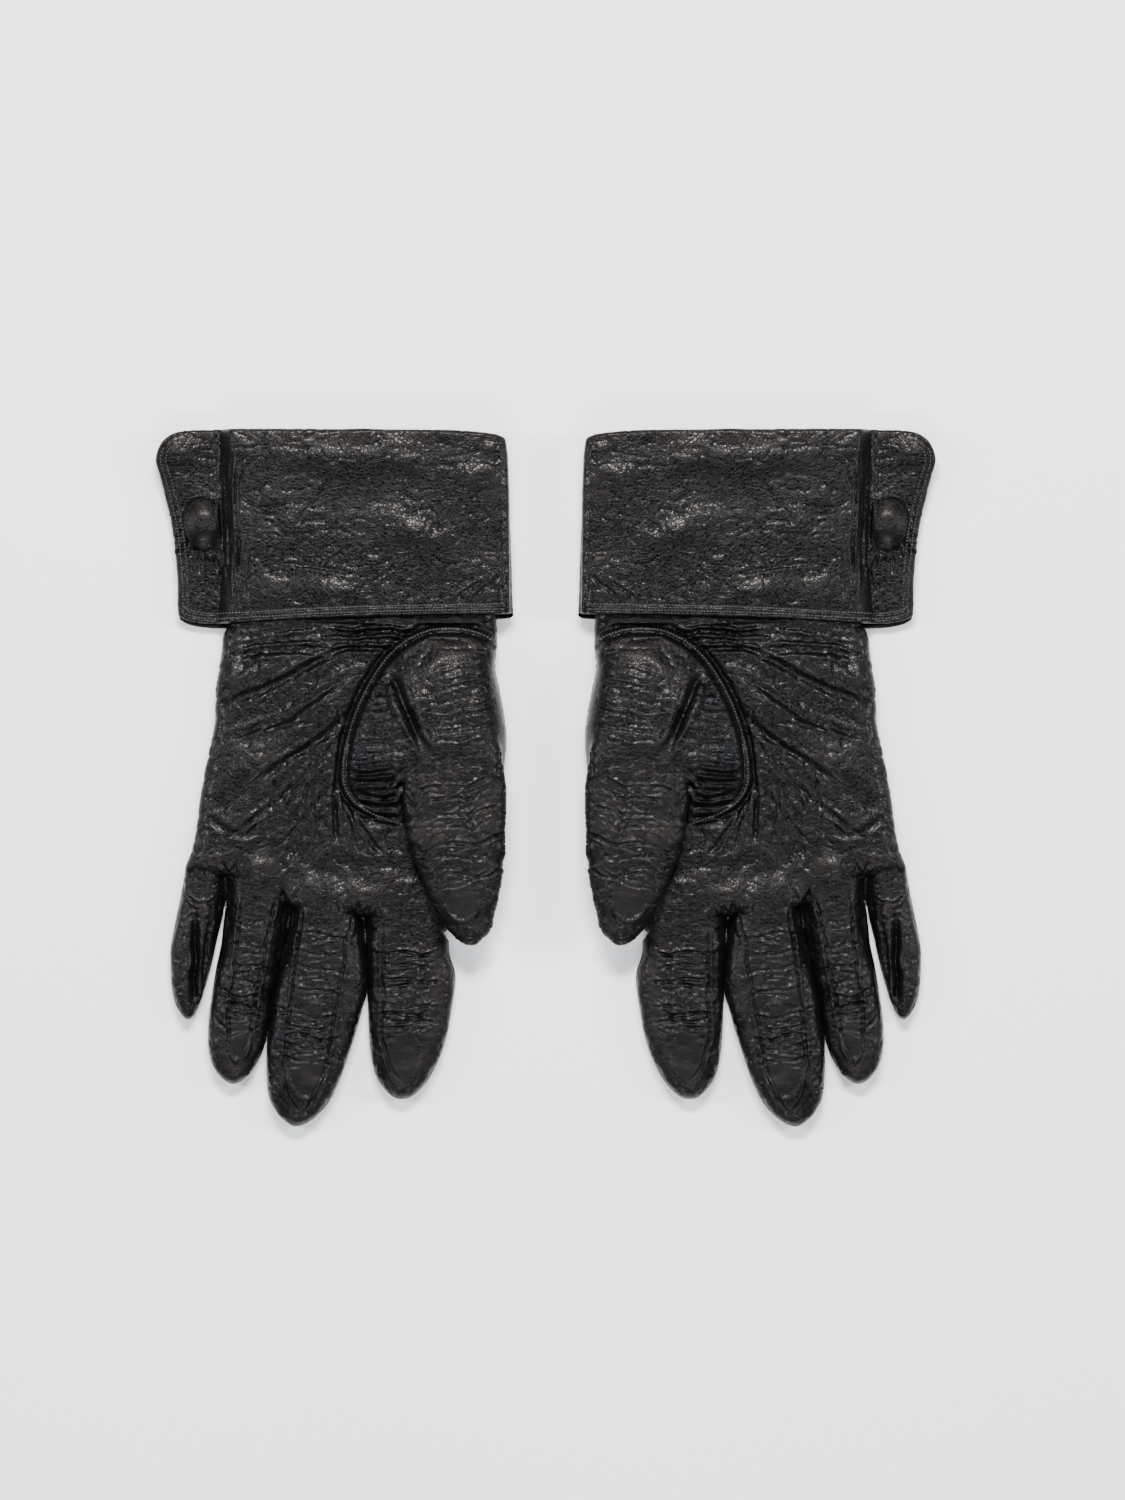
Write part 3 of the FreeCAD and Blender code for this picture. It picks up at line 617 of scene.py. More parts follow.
def cuff_relief(x, y, distance):
    """Soft bulges and fine creases of the turned-back cuff, and puckers round the covered snap."""
    r = Relief(x, y, 61)
    r.strokes((
        ([(-26, 20.5), (-14, 19), (-2, 17), (10, 14.5)], 0.7, -0.7, 0.35),
        ([(-7, 17.5), (0, 21), (9, 27)], 0.6, -0.45, 0.2),
        ([(14, 12), (22, 17), (27, 22)], 0.6, -0.4, 0.2),
        ([(45, 4), (52, 9), (62, 14)], 0.6, -0.55, 0.3),
        ([(52, 3), (58, 9), (64, 16)], 0.6, -0.5, 0.3),
        ([(-40, 70), (-40.6, 52), (-39.4, 36), (-40.2, 18), (-39, 0)], 1.2, -1.3, 0.6),
        ([(-36.6, 60), (-37.2, 42), (-36, 24), (-36.8, 6)], 0.6, -0.8, 0.5),
        ([(-43.2, 50), (-43, 36), (-42.6, 22), (-44, 8)], 0.6, -0.8, 0.5),
        ([(-38.6, 66), (-39.0, 50), (-38.2, 30)], 0.5, -0.7, 0.5),
        ([(-38.4, 26), (-37.8, 12), (-39, 0)], 0.5, -0.7, 0.5),
        ([(-34.4, 62), (-35, 50), (-34, 40)], 0.5, -0.5, 0.3),
        ([(-31, 26), (-31.8, 14), (-30.5, 2)], 0.5, -0.5, 0.3),
        ([(-33.5, 30), (-34.2, 16), (-32.5, 4)], 0.7, -0.5, 0.3)))
    r.swells((
        ((0, 61), (20, 4.5), 1.0, 0), ((27, 58.5), (9, 4), 0.8, 0), ((33, 30.5), (13, 5.4), 1.6, -22),
        ((-17, 33), (8, 8), 0.9, 30), ((2, 9.0), (10, 4.4), 1.3, -6), ((-24, 8), (9, 6), 0.8, 0),
        ((54, 53), (6, 5), 0.9, 20), ((56, 26), (8, 9), -0.6, 0), ((8, 46), (16, 7), -0.8, 10),
        ((-56, 62), (7, 4), 0.7, 30)))
    sx, sy = (r.wx - SNAP[0]) / SNAP_SIZE[0], (r.wy - SNAP[1]) / SNAP_SIZE[1]
    away = np.hypot(sx, sy)
    r.height -= 0.8 * np.exp(-((away - 1.12) / 0.12) ** 2) * (0.6 - 0.4 * sx) * (x < -40)
    for i in range(11):
        angle = math.radians(200 + 17 * i if i < 7 else 20 + 22 * i)
        near, far = 1.15, 1.9 + 0.5 * math.sin(2.9 * i)
        ray = [(SNAP[0] + SNAP_SIZE[0] * k * math.cos(angle + 0.1 * k),
                SNAP[1] + SNAP_SIZE[1] * k * math.sin(angle)) for k in (near, (near + far) / 2, far)]
        r.stroke(ray, 0.65, -0.75, 0.35)
    lines = creases(x / 7.5, y / 5.5, 71, 0.07) + 0.7 * creases(x / 3.6, y / 4.2, 73, 0.08)
    side = np.exp(-((x + 38) / 7) ** 2)
    r.height -= 0.42 * lines + 0.5 * side * creases(x / 2.6, y / 13, 75, 0.16)
    r.height += 0.28 * noise(x / 12, y / 9, 77) + 0.10 * noise(x / 4, y / 4, 79)
    fade = ease(away, 0.75, 1.15)
    r.height *= np.where(x < -38, 0.35 + 0.65 * fade, 1.0)
    hem_relief(r, distance)
    return r.height, CUFF_CALM + 0.12 * (1 - ease(away, 0.8, 1.05))


def front_field(space):
    """The front of the cuff: over the hand, down its side, and out to the covered snap."""
    x, y, z = space.x, space.y, space.z
    distance = inside_distance(x, y, CUFF)
    relief, on_snap = cuff_relief(x, y, distance)
    wander = 1.0 * noise(y / 17, y * 0 + 0.4, 63) + 0.5 * noise(y / 6, y * 0 + 0.7, 65)
    mid = FLAP_MID + (CUFF_TOP - FLAP_MID) * ease(x + wander, *CREASE)
    reach = np.clip(1 - (OUTER_SIDE - x) / 6.5, 0, 1)
    mid = mid - 5.2 * (1 - np.sqrt(np.clip(1 - reach ** 2, 0, 1)))
    turn = np.clip(1 - (FOLD_EDGE - y) / 5.5, 0, 1)
    mid = mid - 0.9 * turn ** 2 * ease(x, -44, -34)
    flare = ease(y, 44, 66) * (1 - ease(x, -66, -52))
    mid = mid + 1.8 * flare + 0.9 * (1 - ease(x, -60, -50)) * np.sin(y / 7.5) * ease(y, -8, 4)
    half = CUFF_HALF + 0.6 * turn ** 2 * ease(x, -44, -34)
    sx, sy = (x - SNAP[0]) / SNAP_SIZE[0], (y - SNAP[1]) / SNAP_SIZE[1]
    dome = np.exp(-1.15 * (sx * sx + sy * sy) ** 1.5)
    seat = 1 - ease(np.hypot(sx, sy), 0.7, 1.6)
    mid = mid * (1 - seat) + FLAP_MID * seat + SNAP_BULGE * dome
    half = half + SNAP_BULGE * dome
    dx, dy = np.gradient(mid, GRID)
    steep = np.sqrt(1 + dx * dx + dy * dy)
    shape = slab(distance, z, mid[:, :, None], (half * np.minimum(steep, 2.2))[:, :, None], 1.4, 2.0)
    top = ease(z, mid[:, :, None] - 0.4, mid[:, :, None] + 0.6)
    return shape + top * relief[:, :, None], on_snap


def back_field(space):
    """The back of the cuff, flat on the table, with its thumb side turned up to meet the front."""
    x, y, z = space.x, space.y, space.z
    distance = inside_distance(x, y + 1.6 * (1 - ease(y, 2, 30)), CUFF)
    relief = Relief(x, y, 81)
    relief.height += -0.12 * creases(x / 9, y / 8, 83) + 0.1 * noise(x / 12, y / 10, 85)
    hem_relief(relief, distance, 0.5)
    reach = np.clip(1 - (OUTER_SIDE - x) / 6.0, 0, 1)
    mid = BACK_MID + 5.0 * (1 - np.sqrt(np.clip(1 - reach ** 2, 0, 1)))
    mid = mid + 0.5 * np.clip(1 - (FOLD_EDGE - y) / 4, 0, 1) ** 2
    dx, dy = np.gradient(mid, GRID)
    steep = np.minimum(np.sqrt(1 + dx * dx + dy * dy), 2.0)
    shape = slab(distance, z, mid[:, :, None], (BACK_HALF * steep)[:, :, None], 1.2, 2.0)
    return shape + np.where(z > mid[:, :, None], relief.height[:, :, None], 0.0)


def gauntlet_field(space):
    """The tube above the wrist, open at its fold, inside the cuff."""
    x, y, z = space.x, space.y, space.z
    distance = np.minimum(x + 38.2, 61.2 - x)
    lines = 0.3 * creases(x / 6, y / 7, 93, 0.09)
    wave = 0.3 * noise(x / 9, y / 14, 91) - lines - 0.2 * creases(x / 3.2, y / 4, 95, 0.09)
    solid = slab(distance, z, TUBE_MID, TUBE_HALF, 4.5, 2.6) + wave[:, :, None]
    shell = np.minimum(solid, SKIN - solid)
    ends = np.minimum(y - 5.0, FOLD_EDGE - 0.1 * np.maximum(x - 38, 0) - y)[:, :, None]
    return np.minimum(shell, ends)


# ---- Materials ---------------------------------------------------------------------------------
class Nodes:
    """Short calls for building one material's nodes."""

    def __init__(self, name):
        self.material = bpy.data.materials.new(name)
        self.material.use_nodes = True
        self.tree = self.material.node_tree
        self.shader = self.tree.nodes["Principled BSDF"]

    def add(self, kind, values=None, **settings):
        node = self.tree.nodes.new(kind)
        for key, value in settings.items():
            setattr(node, key, value)
        for key, value in (values or {}).items():
            if isinstance(value, bpy.types.NodeSocket):
                self.tree.links.new(value, node.inputs[key])
            else:
                node.inputs[key].default_value = value
        return node

    def math(self, operation, a, b):
        return self.add("ShaderNodeMath", {0: a, 1: b}, operation=operation).outputs[0]

    def times(self, a, b):
        return self.math("MULTIPLY", a, b)

    def plus(self, a, b):
        return self.math("ADD", a, b)

    def spread(self, value, low, high, to_low=0.0, to_high=1.0):
        node = self.add("ShaderNodeMapRange", {0: value, 1: low, 2: high, 3: to_low, 4: to_high})
        return node.outputs[0]

    def mix(self, amount, a, b):
        """Colour a, blended towards b: either a colour or another node's output."""
        second = b if isinstance(b, bpy.types.NodeSocket) else (*b, 1)
        return self.add("ShaderNodeMix", {0: amount, 6: (*a, 1), 7: second}, data_type="RGBA").outputs[2]

    def painted(self, name):
        return self.add("ShaderNodeAttribute", attribute_name=name, attribute_type="GEOMETRY")

    def vectors(self, operation, a, b):
        return self.add("ShaderNodeVectorMath", {0: a, 1: b}, operation=operation).outputs[0]

    def noise(self, vector, scale, **values):
        return self.add("ShaderNodeTexNoise", {"Vector": vector, "Scale": scale, "Detail": 2.0, **values})

    def cell_edge(self, vector, scale):
        """Distance to the nearest edge of a random cell."""
        values = {"Vector": vector, "Scale": scale}
        return self.add("ShaderNodeTexVoronoi", values, feature="DISTANCE_TO_EDGE").outputs["Distance"]

    def bump(self, height, distance):
        values = {"Height": height, "Distance": distance, "Strength": 1.0}
        return self.add("ShaderNodeBump", values).outputs[0]

    def finish(self, **inputs):
        """Links or sets the shader's inputs, named with underscores for spaces, and gives the material."""
        for key, value in inputs.items():
            socket = self.shader.inputs[key.replace("_", " ")]
            if isinstance(value, bpy.types.NodeSocket):
                self.tree.links.new(value, socket)
            else:
                socket.default_value = value
        return self.material


def leather(name, base, wear_and_highlight, grain_mm, grain_depth):
    """Goat-like leather: pebbles between fine cracks, longer creases, grooves and cracks darkened as painted
    shade, and high, upward-facing places made lighter, partly as wear and partly as painted highlight.
    """
    n = Nodes(name)
    place = n.painted("plane_mm").outputs["Vector"]
    calm = n.painted("calm").outputs["Fac"]
    raised = n.painted("raised").outputs["Fac"]
    drift = n.noise(place, 0.35).outputs["Color"]
    bent = n.vectors("ADD", n.vectors("MULTIPLY", drift, (1.1, 1.1, 1.1)), place)
    cells = n.cell_edge(bent, 1 / grain_mm)
    small = n.cell_edge(bent, 2.3 / grain_mm)
    cracks = n.cell_edge(n.vectors("MULTIPLY", bent, (0.30, 0.42, 0.35)), 1.0)
    fibre = n.noise(n.vectors("MULTIPLY", bent, (0.5, 1.1, 0.8)), 1.2).outputs["Fac"]
    patches = n.noise(place, 0.09).outputs["Fac"]
    groove = n.spread(cells, 0.015, 0.11)
    dome = n.spread(cells, 0.0, 0.5)
    fine = n.spread(small, 0.0, 0.12)
    crack = n.spread(cracks, 0.0, 0.045)
    relief = n.times(groove, 0.30)
    for height, share in ((dome, 0.22), (fine, 0.05), (fibre, 0.10), (crack, 0.42)):
        relief = n.plus(relief, n.times(height, share))
    strength = n.times(n.spread(calm, 0, 1, 1.0, 0.25), n.spread(patches, 0.35, 0.65, 0.55, 1.0))
    relief = n.times(relief, strength)
    clear_of_groove_shade = n.math("MAXIMUM", n.times(groove, crack), n.times(calm, 0.9))   # 0 in grain grooves and cracks, where the colour gets painted shade and the finish is rougher
    # Lighter tone on high places that face up: partly wear, partly painted highlight
    rub_and_highlight = n.times(n.spread(raised, 0.35, 0.95), n.spread(patches, 0.38, 0.62))
    # Painted shade: grooves and cracks take a third of the base colour
    colour = n.mix(clear_of_groove_shade, [0.3 * c for c in base], n.mix(rub_and_highlight, base, wear_and_highlight))
    rough = n.plus(n.spread(fibre, 0.3, 0.7, 0.20, 0.28), n.spread(clear_of_groove_shade, 0.0, 1.0, 0.25, 0.0))
    rough = n.plus(rough, n.times(calm, 0.22))
    return n.finish(Base_Color=colour, Roughness=rough, Normal=n.bump(relief, grain_depth),
                    Specular_IOR_Level=0.135, Sheen_Weight=0.005, Sheen_Roughness=0.4)


def thread(name):
    """Twisted waxed thread."""
    n = Nodes(name)
    place = n.painted("plane_mm").outputs["Vector"]
    values = {"Vector": place, "Scale": 2.4, "Distortion": 2.0, "Detail": 2.0}
    twist = n.add("ShaderNodeTexWave", values).outputs["Fac"]
    return n.finish(Base_Color=n.mix(twist, (0.012, 0.012, 0.013), (0.050, 0.047, 0.046)),
                    Roughness=n.spread(twist, 0, 1, 0.26, 0.42), Normal=n.bump(twist, 0.00006))


def metal(name, colour, rough):
    """Plated snap metal with fine handling marks."""
    n = Nodes(name)
    place = n.add("ShaderNodeTexCoord").outputs["Object"]
    marks = n.noise(n.vectors("MULTIPLY", place, (900, 300, 900)), 1.0, Detail=4.0).outputs["Fac"]
    return n.finish(Base_Color=n.mix(marks, [0.7 * c for c in colour], colour), Metallic=1.0,
                    Roughness=n.spread(marks, 0.3, 0.7, rough, rough + 0.15), Normal=n.bump(marks, 0.00002))


def woven(name):
    """Narrow woven elastic."""
    n = Nodes(name)
    place = n.add("ShaderNodeTexCoord").outputs["Object"]
    values = {"Vector": place, "Scale": 700.0, "Distortion": 0.4}
    ribs = n.add("ShaderNodeTexWave", values, bands_direction="Y").outputs["Fac"]
    return n.finish(Base_Color=n.mix(ribs, (0.01, 0.01, 0.01), (0.05, 0.05, 0.05)),
                    Roughness=0.85, Normal=n.bump(ribs, 0.0002))


STEEL = metal("snap_steel", (0.62, 0.60, 0.57), 0.28)
ELASTIC = woven("elastic")
# The second colour of each is the lighter tone for wear and painted highlight on high, upward-facing places
HAND_LEATHER = leather("glove_leather", (0.0008, 0.0008, 0.0012), (0.0066, 0.0052, 0.0047), 1.35, 0.00018)
CUFF_LEATHER = leather("cuff_leather", (0.0009, 0.0009, 0.0012), (0.0072, 0.0056, 0.0050), 1.30, 0.00017)
THREAD = thread("thread")


# ---- Building the pieces -------------------------------------------------------------------------
SHAPES = []      # everything made for the left glove, to be set out once for each hand


class Skin:
    """A closed leather surface with its normals and painted values, before it is cut into pieces."""

    def __init__(self, space, field, calm):
        self.space = space
        self.points, self.faces = space.surface(field)
        self.normals = vertex_normals(self.points, self.faces)
        a, b, c, d = (self.points[self.faces[:, i]] for i in range(4))
        self.middle = (a + b + c + d) / 4
        self.top = self.height_map()
        cell = self.cell(self.points)
        standing = (self.top - blurred(self.top))[cell]
        # raised: high above the blurred surface and facing up, where the leather is coloured lighter, partly
        # as wear and partly as painted highlight
        self.painted = {"raised": np.clip(0.42 + 0.55 * standing, 0, 1) * np.clip(self.normals[:, 2], 0, 1),
                        "calm": calm[cell] * (self.normals[:, 2] > 0)}

    def cell(self, points):
        """The plan grid cell under each point."""
        place = np.round((points[:, :2] - self.space.low[:2]) / GRID).astype(int)
        limit = np.array(self.space.x.shape) - 1
        return tuple(np.clip(place, 0, limit).T)

    def height_map(self):
        """Height of the uppermost surface over each grid point, carried a little way past its edge."""
        heights = np.full(self.space.x.shape, -1.0)
        np.maximum.at(heights, self.cell(self.points), self.points[:, 2])
        for _ in range(4):
            grown = heights.copy()
            for axis in (0, 1):
                for shift in (-1, 1):
                    grown = np.maximum(grown, np.roll(heights, shift, axis))
            heights = np.where(heights < 0, grown, heights)
        return np.maximum(heights, 0)

    def height_at(self, x, y):
        """Height of the uppermost surface at one place, between grid points too."""
        fx, fy = (x - self.space.low[0]) / GRID, (y - self.space.low[1]) / GRID
        ix, iy = int(fx), int(fy)
        tx, ty = fx - ix, fy - iy
        return ((1 - tx) * ((1 - ty) * self.top[ix, iy] + ty * self.top[ix, iy + 1])
                + tx * ((1 - ty) * self.top[ix + 1, iy] + ty * self.top[ix + 1, iy + 1]))

    def piece(self, name, chosen, material, bodies, replaces, ends=None):
        """Sets aside the chosen faces as one piece, with the bodies it belongs to and, for a piece over a
        bend, the two ends of that bend.
        """
        faces = self.faces[chosen]
        keep = np.unique(faces)
        renumber = np.zeros(len(self.points), np.int64)
        renumber[keep] = np.arange(len(keep))
        painted = {key: values[keep] for key, values in self.painted.items()}
        SHAPES.append((name, self.points[keep], renumber[faces], self.normals[keep], painted, material,
                       bodies, replaces, ends))


def blurred(values, reach=7):
    """The average over a square of the neighbours, three times over."""
    for _ in range(3):
        for axis in (0, 1):
            total = np.cumsum(values, axis=axis)
            count = values.shape[axis]
            place = np.arange(count)
            ahead = np.minimum(place + reach, count - 1)
            behind = np.maximum(place - reach, 0)
            spread = (ahead - behind).reshape([-1 if a == axis else 1 for a in (0, 1)])
            values = (np.take(total, ahead, axis) - np.take(total, behind, axis)) / spread
    return values


def part_of(space, low, high):
    """The part of a space between two plan corners, on the same grid, and where it lies in it."""
    places, ends = [], []
    for axis in (0, 1):
        line = space.axes[axis]
        first = max(0, int((low[axis] - line[0]) / GRID))
        last = min(len(line) - 1, int((high[axis] - line[0]) / GRID) + 1)
        places.append(slice(first, last + 1))
        ends.append((line[first], line[last]))
    (low_x, high_x), (low_y, high_y) = ends
    part = Space((low_x, low_y, space.low[2]), (high_x, high_y, space.axes[2][-1]))
    return part, tuple(places)


def fork_hand(whole):
    """The hand's field, open at the wrist, and the part of the whole that it takes up."""
    part, at = part_of(whole, (-66, -136), (70, 9))
    hand = hand_field(part)
    shell = np.minimum(hand, SKIN - hand)
    mouth = (part.y > MOUTH_START)[:, :, None]
    return part, at, np.where(mouth, np.minimum(shell, (MOUTH_END - part.y)[:, :, None]), hand)


def build_skin():
    """The hand and its five digits: one joined surface near each bend line, cut there into pieces."""
    whole = Space((-72, -202, -1), (72, 9, 27))
    palm_part, palm_at, hand = fork_hand(whole)
    joined = np.full((*whole.x.shape, len(whole.axes[2])), -5.0)
    joined[palm_at] = hand
    owner = np.full(whole.x.shape, -1)       # which finger each place belongs to
    best = np.full(whole.x.shape, -2.9)
    digits = {}
    for order, name in enumerate(DIGITS):
        line = OUTLINES[name]
        part, at = part_of(whole, line.min(0) - 3, line.max(0) + 3)
        own = digit_field(name, part)
        v = DIGIT[name].local(whole.x, whole.y)[1]
        digits[name] = (part, at, own, v[at])
        soft = 2.4 if name == "thumb" else 1.2
        joined[at] = np.where((v[at] < 4)[:, :, None], join(joined[at], own, soft), joined[at])
        if name != "thumb":
            distance = inside_distance(whole.x, whole.y, line)
            better = (distance > best) & (v > -2)
            best = np.where(better, distance, best)
            owner = np.where(better, order, owner)
    thumb_reach = inside_distance(whole.x, whole.y, OUTLINES["thumb"]) > -2.2
    thumb_v = DIGIT["thumb"].local(whole.x, whole.y)[1][palm_at]
    apart = ((thumb_v > 1.0) & thumb_reach[palm_at])[:, :, None]
    field = np.where(apart, hand, joined[palm_at])
    skin = Skin(palm_part, field, np.full(palm_part.x.shape, HAND_CALM))
    cut_hand(skin, owner[palm_at], thumb_reach[palm_at])
    for order, name in enumerate(DIGITS):
        part, at, own, v = digits[name]
        on_digit = thumb_reach[at] if name == "thumb" else owner[at] == order
        build_digit(name, part, own, joined[at], v, on_digit)
    return skin


def cut_hand(skin, owner, thumb_reach):
    """The hand's three pieces, without what belongs to fingers and thumb past their bend lines."""
    x, y, z = skin.middle.T
    cell = skin.cell(skin.middle)
    drop = np.zeros(len(skin.faces), bool)
    for order, name in enumerate(DIGITS[:-1]):
        drop |= (DIGIT[name].local(x, y)[1] > 0) & (owner[cell] == order)
    v = DIGIT["thumb"].local(x, y)[1]
    drop |= (v > 0) & (v < 1.3) & (z > THUMB_PART) & thumb_reach[cell]
    upward = z > HAND_MID
    seam = spline(SEAM + [(30, -82.5), (50, -82.5), (80, -82.5), (80, -12)], 5, closed=True)
    base = upward & (inside_distance(x, y, seam) > 0) & ~drop
    skin.piece("thumb_base_leather", base, HAND_LEATHER, ["hand"], ["thumb_base"])
    skin.piece("palm_leather", upward & ~base & ~drop, HAND_LEATHER, ["hand"], ["palm"])
    skin.piece("back_leather", ~upward & ~drop, HAND_LEATHER, ["hand"], ["back"])


def build_digit(name, part, own, joined, v, on_digit):
    """One digit's leather from its bend line on, its field changing there from joined to its own."""
    if name == "thumb":
        field = np.where((v > 1.0)[:, :, None], own, joined)
        nodes = ["thumb_palm_side", "thumb_back_side"]
    else:
        mix = ease(v, 1, 4)[:, :, None]
        field = joined * (1 - mix) + own * mix
        side_strip = "fourchettes" if name in ("middle", "ring") else "fourchette"
        nodes = [f"{name}_palm_side", f"{name}_back_side", f"{name}_{side_strip}"]
    calm = np.maximum(finger_relief(name, part.x, part.y)[1], HAND_CALM + 0.20 * ease(v, 0, 12))
    skin = Skin(part, field, calm)
    x, y, z = skin.middle.T
    v = DIGIT[name].local(x, y)[1]
    kept = (v > 0) & on_digit[skin.cell(skin.middle)]
    if name == "thumb":
        kept &= (z > THUMB_PART) | (v > 1.7)
    ends = (DIGIT[name].point(0, 1, 0), DIGIT[name].point(0, BEND_REACH[name], 0))
    skin.piece(f"{name}_leather", kept, HAND_LEATHER, ["hand", name], nodes, ends)


def build_cuff():
    """The tube above the wrist and both sides of the turned-back cuff; gives the front's skin."""
    space = Space((-42, 3, 1), (65, 73, 15))
    tube = Skin(space, gauntlet_field(space), np.zeros(space.x.shape))
    z = tube.middle[:, 2]
    for name, chosen in (("gauntlet_palm_side", z > TUBE_MID), ("gauntlet_back_side", z <= TUBE_MID)):
        tube.piece(f"{name}_leather", chosen, HAND_LEATHER, ["hand"], [name])
    space = Space((-72, -8, -1), (72, 74, 6))
    back = Skin(space, back_field(space), np.zeros(space.x.shape))
    back.piece("back_cuff_leather", np.ones(len(back.faces), bool), CUFF_LEATHER, ["back_cuff"],
               ["back_cuff_facing", "back_cuff_lining"])
    space = Space((-72, -8, 2), (72, 74, 18))
    field, calm = front_field(space)
    front = Skin(space, field, calm)
    x = front.middle[:, 0]
    front.piece("front_cuff_leather", x > FLAP_SPLIT, CUFF_LEATHER, ["front_cuff"],
                ["front_cuff_facing", "front_cuff_lining"])
    front.piece("snap_flap_leather", x <= FLAP_SPLIT, CUFF_LEATHER, ["front_cuff", "snap_flap"],
                ["snap_flap", "snap_cap"], FLAP_BEND)
    return front


def paces(line, pitch):
    """Points evenly spaced along a line, and the direction at each."""
    step = np.hypot(*np.diff(line, axis=0).T)
    start = np.concatenate([[0], np.cumsum(step)])
    places = np.arange(pitch / 2, start[-1], pitch)
    points = np.stack([np.interp(places, start, line[:, i]) for i in (0, 1)], 1)
    ahead = np.stack([np.interp(places + 0.3, start, line[:, i]) for i in (0, 1)], 1)
    behind = np.stack([np.interp(places - 0.3, start, line[:, i]) for i in (0, 1)], 1)
    way = ahead - behind
    return points, way / np.linalg.norm(way, axis=1, keepdims=True)


def sew(name, skin, points, way, bodies, ends=None):
    """A row of stitches on a skin's upper face: each a short bulging length of thread."""
    verts, faces = [], []
    ring = np.arange(STITCH_SIDES) * 2 * math.pi / STITCH_SIDES
    for number, (centre, direction) in enumerate(zip(points, way)):
        across = np.array([-direction[1], direction[0]])
        for k in range(STITCH_RINGS):
            t = -1 + 2 * k / (STITCH_RINGS - 1)
            middle = centre + direction * t * STITCH_LONG / 2
            z = skin.height_at(*middle) + STITCH_LIFT - 0.3 * t * t
            thick = STITCH_THICK / 2 * (1 - 0.75 * t * t)
            for angle in ring:
                side = across * thick * math.cos(angle)
                verts.append((middle[0] + side[0], middle[1] + side[1], z + thick * math.sin(angle)))
        start = number * STITCH_RINGS * STITCH_SIDES
        for k in range(STITCH_RINGS - 1):
            a = start + k * STITCH_SIDES
            b = a + STITCH_SIDES
            for i in range(STITCH_SIDES):
                j = (i + 1) % STITCH_SIDES
                faces.append((a + i, a + j, b + j, b + i))
        last = start + (STITCH_RINGS - 1) * STITCH_SIDES
        faces.append((start + 3, start + 2, start + 1, start))
        faces.append((start + 5, start + 4, start + 3, start))
        faces.append((last, last + 1, last + 2, last + 3))
        faces.append((last, last + 3, last + 4, last + 5))
    SHAPES.append((name, np.array(verts), np.array(faces), None, {}, THREAD, bodies, [], ends))


def sew_all(skin, front):
    """The cuff's two hem rows, on and off the flap, and the welt of the thumb seam."""
    for number, row in enumerate(HEM_ROWS, 1):
        points, way = paces(offset_line(np.vstack([CUFF, CUFF[:1]]), -row), STITCH_PITCH)
        x, y = points.T
        hem = (y < 9) & (x > FLAP_SPLIT) & (x < 65.5)
        side = (x <= FLAP_SPLIT) & (y < 63.5)
        sew(f"hem_stitches_{number}", front, points[hem], way[hem], ["front_cuff"])
        sew(f"flap_stitches_{number}", front, points[side], way[side], ["front_cuff", "snap_flap"], FLAP_BEND)
    points, way = paces(offset_line(spline(SEAM, 6), WELT_ROW), STITCH_PITCH)
    sew("thumb_seam_stitches", skin, points, way, ["hand"])


hand_skin = build_skin()
cuff_front = build_cuff()
sew_all(hand_skin, cuff_front)


def set_out(side, sign):
    """Every piece of one glove; a piece with one body is hung on an empty for that body, one with two bodies
    is left without a parent.
    """
    for name, points, faces, normals, painted, material, bodies, replaces, ends in SHAPES:
        body = f"{side}_{bodies[0]}" if len(bodies) == 1 else None
        piece = make_piece(f"{side}_{name}", points, faces, sign, material, body, painted, normals)
        if ends:
            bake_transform(piece)
        if replaces:
            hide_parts(*[f"{side}_{node}" for node in replaces])


for side, sign in SIDES.items():
    set_out(side, sign)
    for node, material in (("wrist_elastic", ELASTIC), ("snap_socket", STEEL), ("snap_stud", STEEL),
                           ("snap_post", STEEL)):
        mesh = frame["nodes"][f"{side}_{node}"].data
        mesh.materials.clear()
        mesh.materials.append(material)


# ---- Floor, light and camera --------------------------------------------------------------------
VIEW_X, VIEW_Y = 0.00645, 0.0108     # the place in the row that the camera looks straight down at
VIEW_HIGH, CAMERA_UP = 0.5775, 2.6   # metres of table the picture shows, and the camera's height
SENSOR = 36                  # millimetres, the picture's height in the camera
FLOOR = -0.0002              # metres: just below the gloves


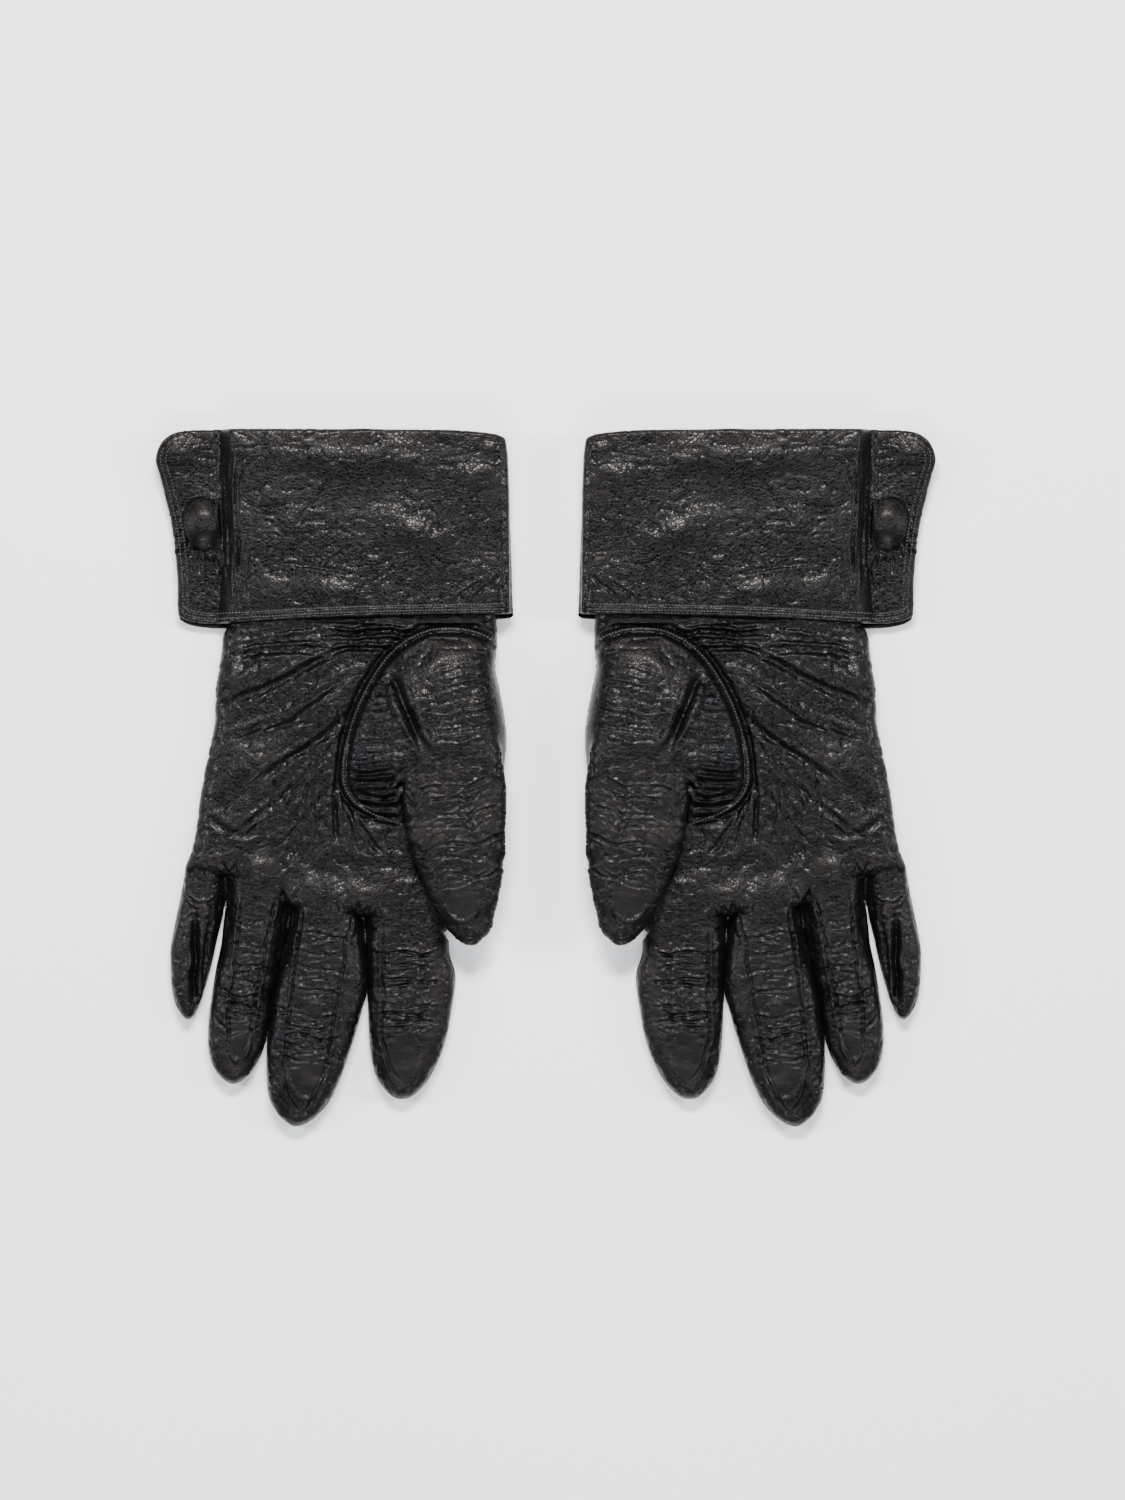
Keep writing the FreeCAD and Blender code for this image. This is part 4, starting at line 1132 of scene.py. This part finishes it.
def area_light(name, place, size, power, colour):
    """A soft rectangular light aimed at the row's middle."""
    lamp = bpy.data.lights.new(name, "AREA")
    lamp.shape = "RECTANGLE"
    lamp.size, lamp.size_y = size
    lamp.energy = power
    lamp.color = colour
    holder = bpy.data.objects.new(name, lamp)
    bpy.context.scene.collection.objects.link(holder)
    holder.location = place
    holder.rotation_euler = (-Vector(place)).to_track_quat("-Z", "Y").to_euler()


def build_stage():
    """A pale paper floor, one key light behind the cuffs, softer ones at the sides and the front."""
    bpy.ops.mesh.primitive_plane_add(size=12, location=(0, 0, FLOOR))
    floor = bpy.context.object
    floor.name = "floor"
    n = Nodes("paper")
    cloud = n.noise(n.add("ShaderNodeTexCoord").outputs["Object"], 4.0, Detail=3.0).outputs["Fac"]
    pale = n.mix(cloud, (0.78, 0.78, 0.79), (0.82, 0.82, 0.825))
    floor.data.materials.append(n.finish(Base_Color=pale, Roughness=0.9))
    area_light("key", (0.0, 0.74, 1.15), (0.5, 0.2), 50, (1.0, 0.95, 0.90))
    for name, x in (("left_side", -1.05), ("right_side", 1.05)):
        area_light(name, (x, 0.15, 0.75), (0.25, 0.5), 16, (0.88, 0.94, 1.0))
    area_light("front", (0.0, -0.9, 1.05), (0.8, 0.3), 17, (1.0, 1.0, 1.0))
    world = bpy.data.worlds.new("room")
    world.use_nodes = True
    background = world.node_tree.nodes["Background"]
    background.inputs["Color"].default_value = (0.92, 0.94, 1.0, 1)
    background.inputs["Strength"].default_value = 0.08
    bpy.context.scene.world = world


def build_camera():
    """A camera straight above the table, far enough to see it almost without perspective."""
    lens = bpy.data.cameras.new("camera")
    lens.sensor_fit = "VERTICAL"
    lens.sensor_height = SENSOR
    lens.lens = SENSOR * CAMERA_UP / VIEW_HIGH
    lens.clip_end = 20
    camera = bpy.data.objects.new("camera", lens)
    bpy.context.scene.collection.objects.link(camera)
    camera.location = (VIEW_X, VIEW_Y, CAMERA_UP)
    bpy.context.scene.camera = camera


build_stage()
build_camera()
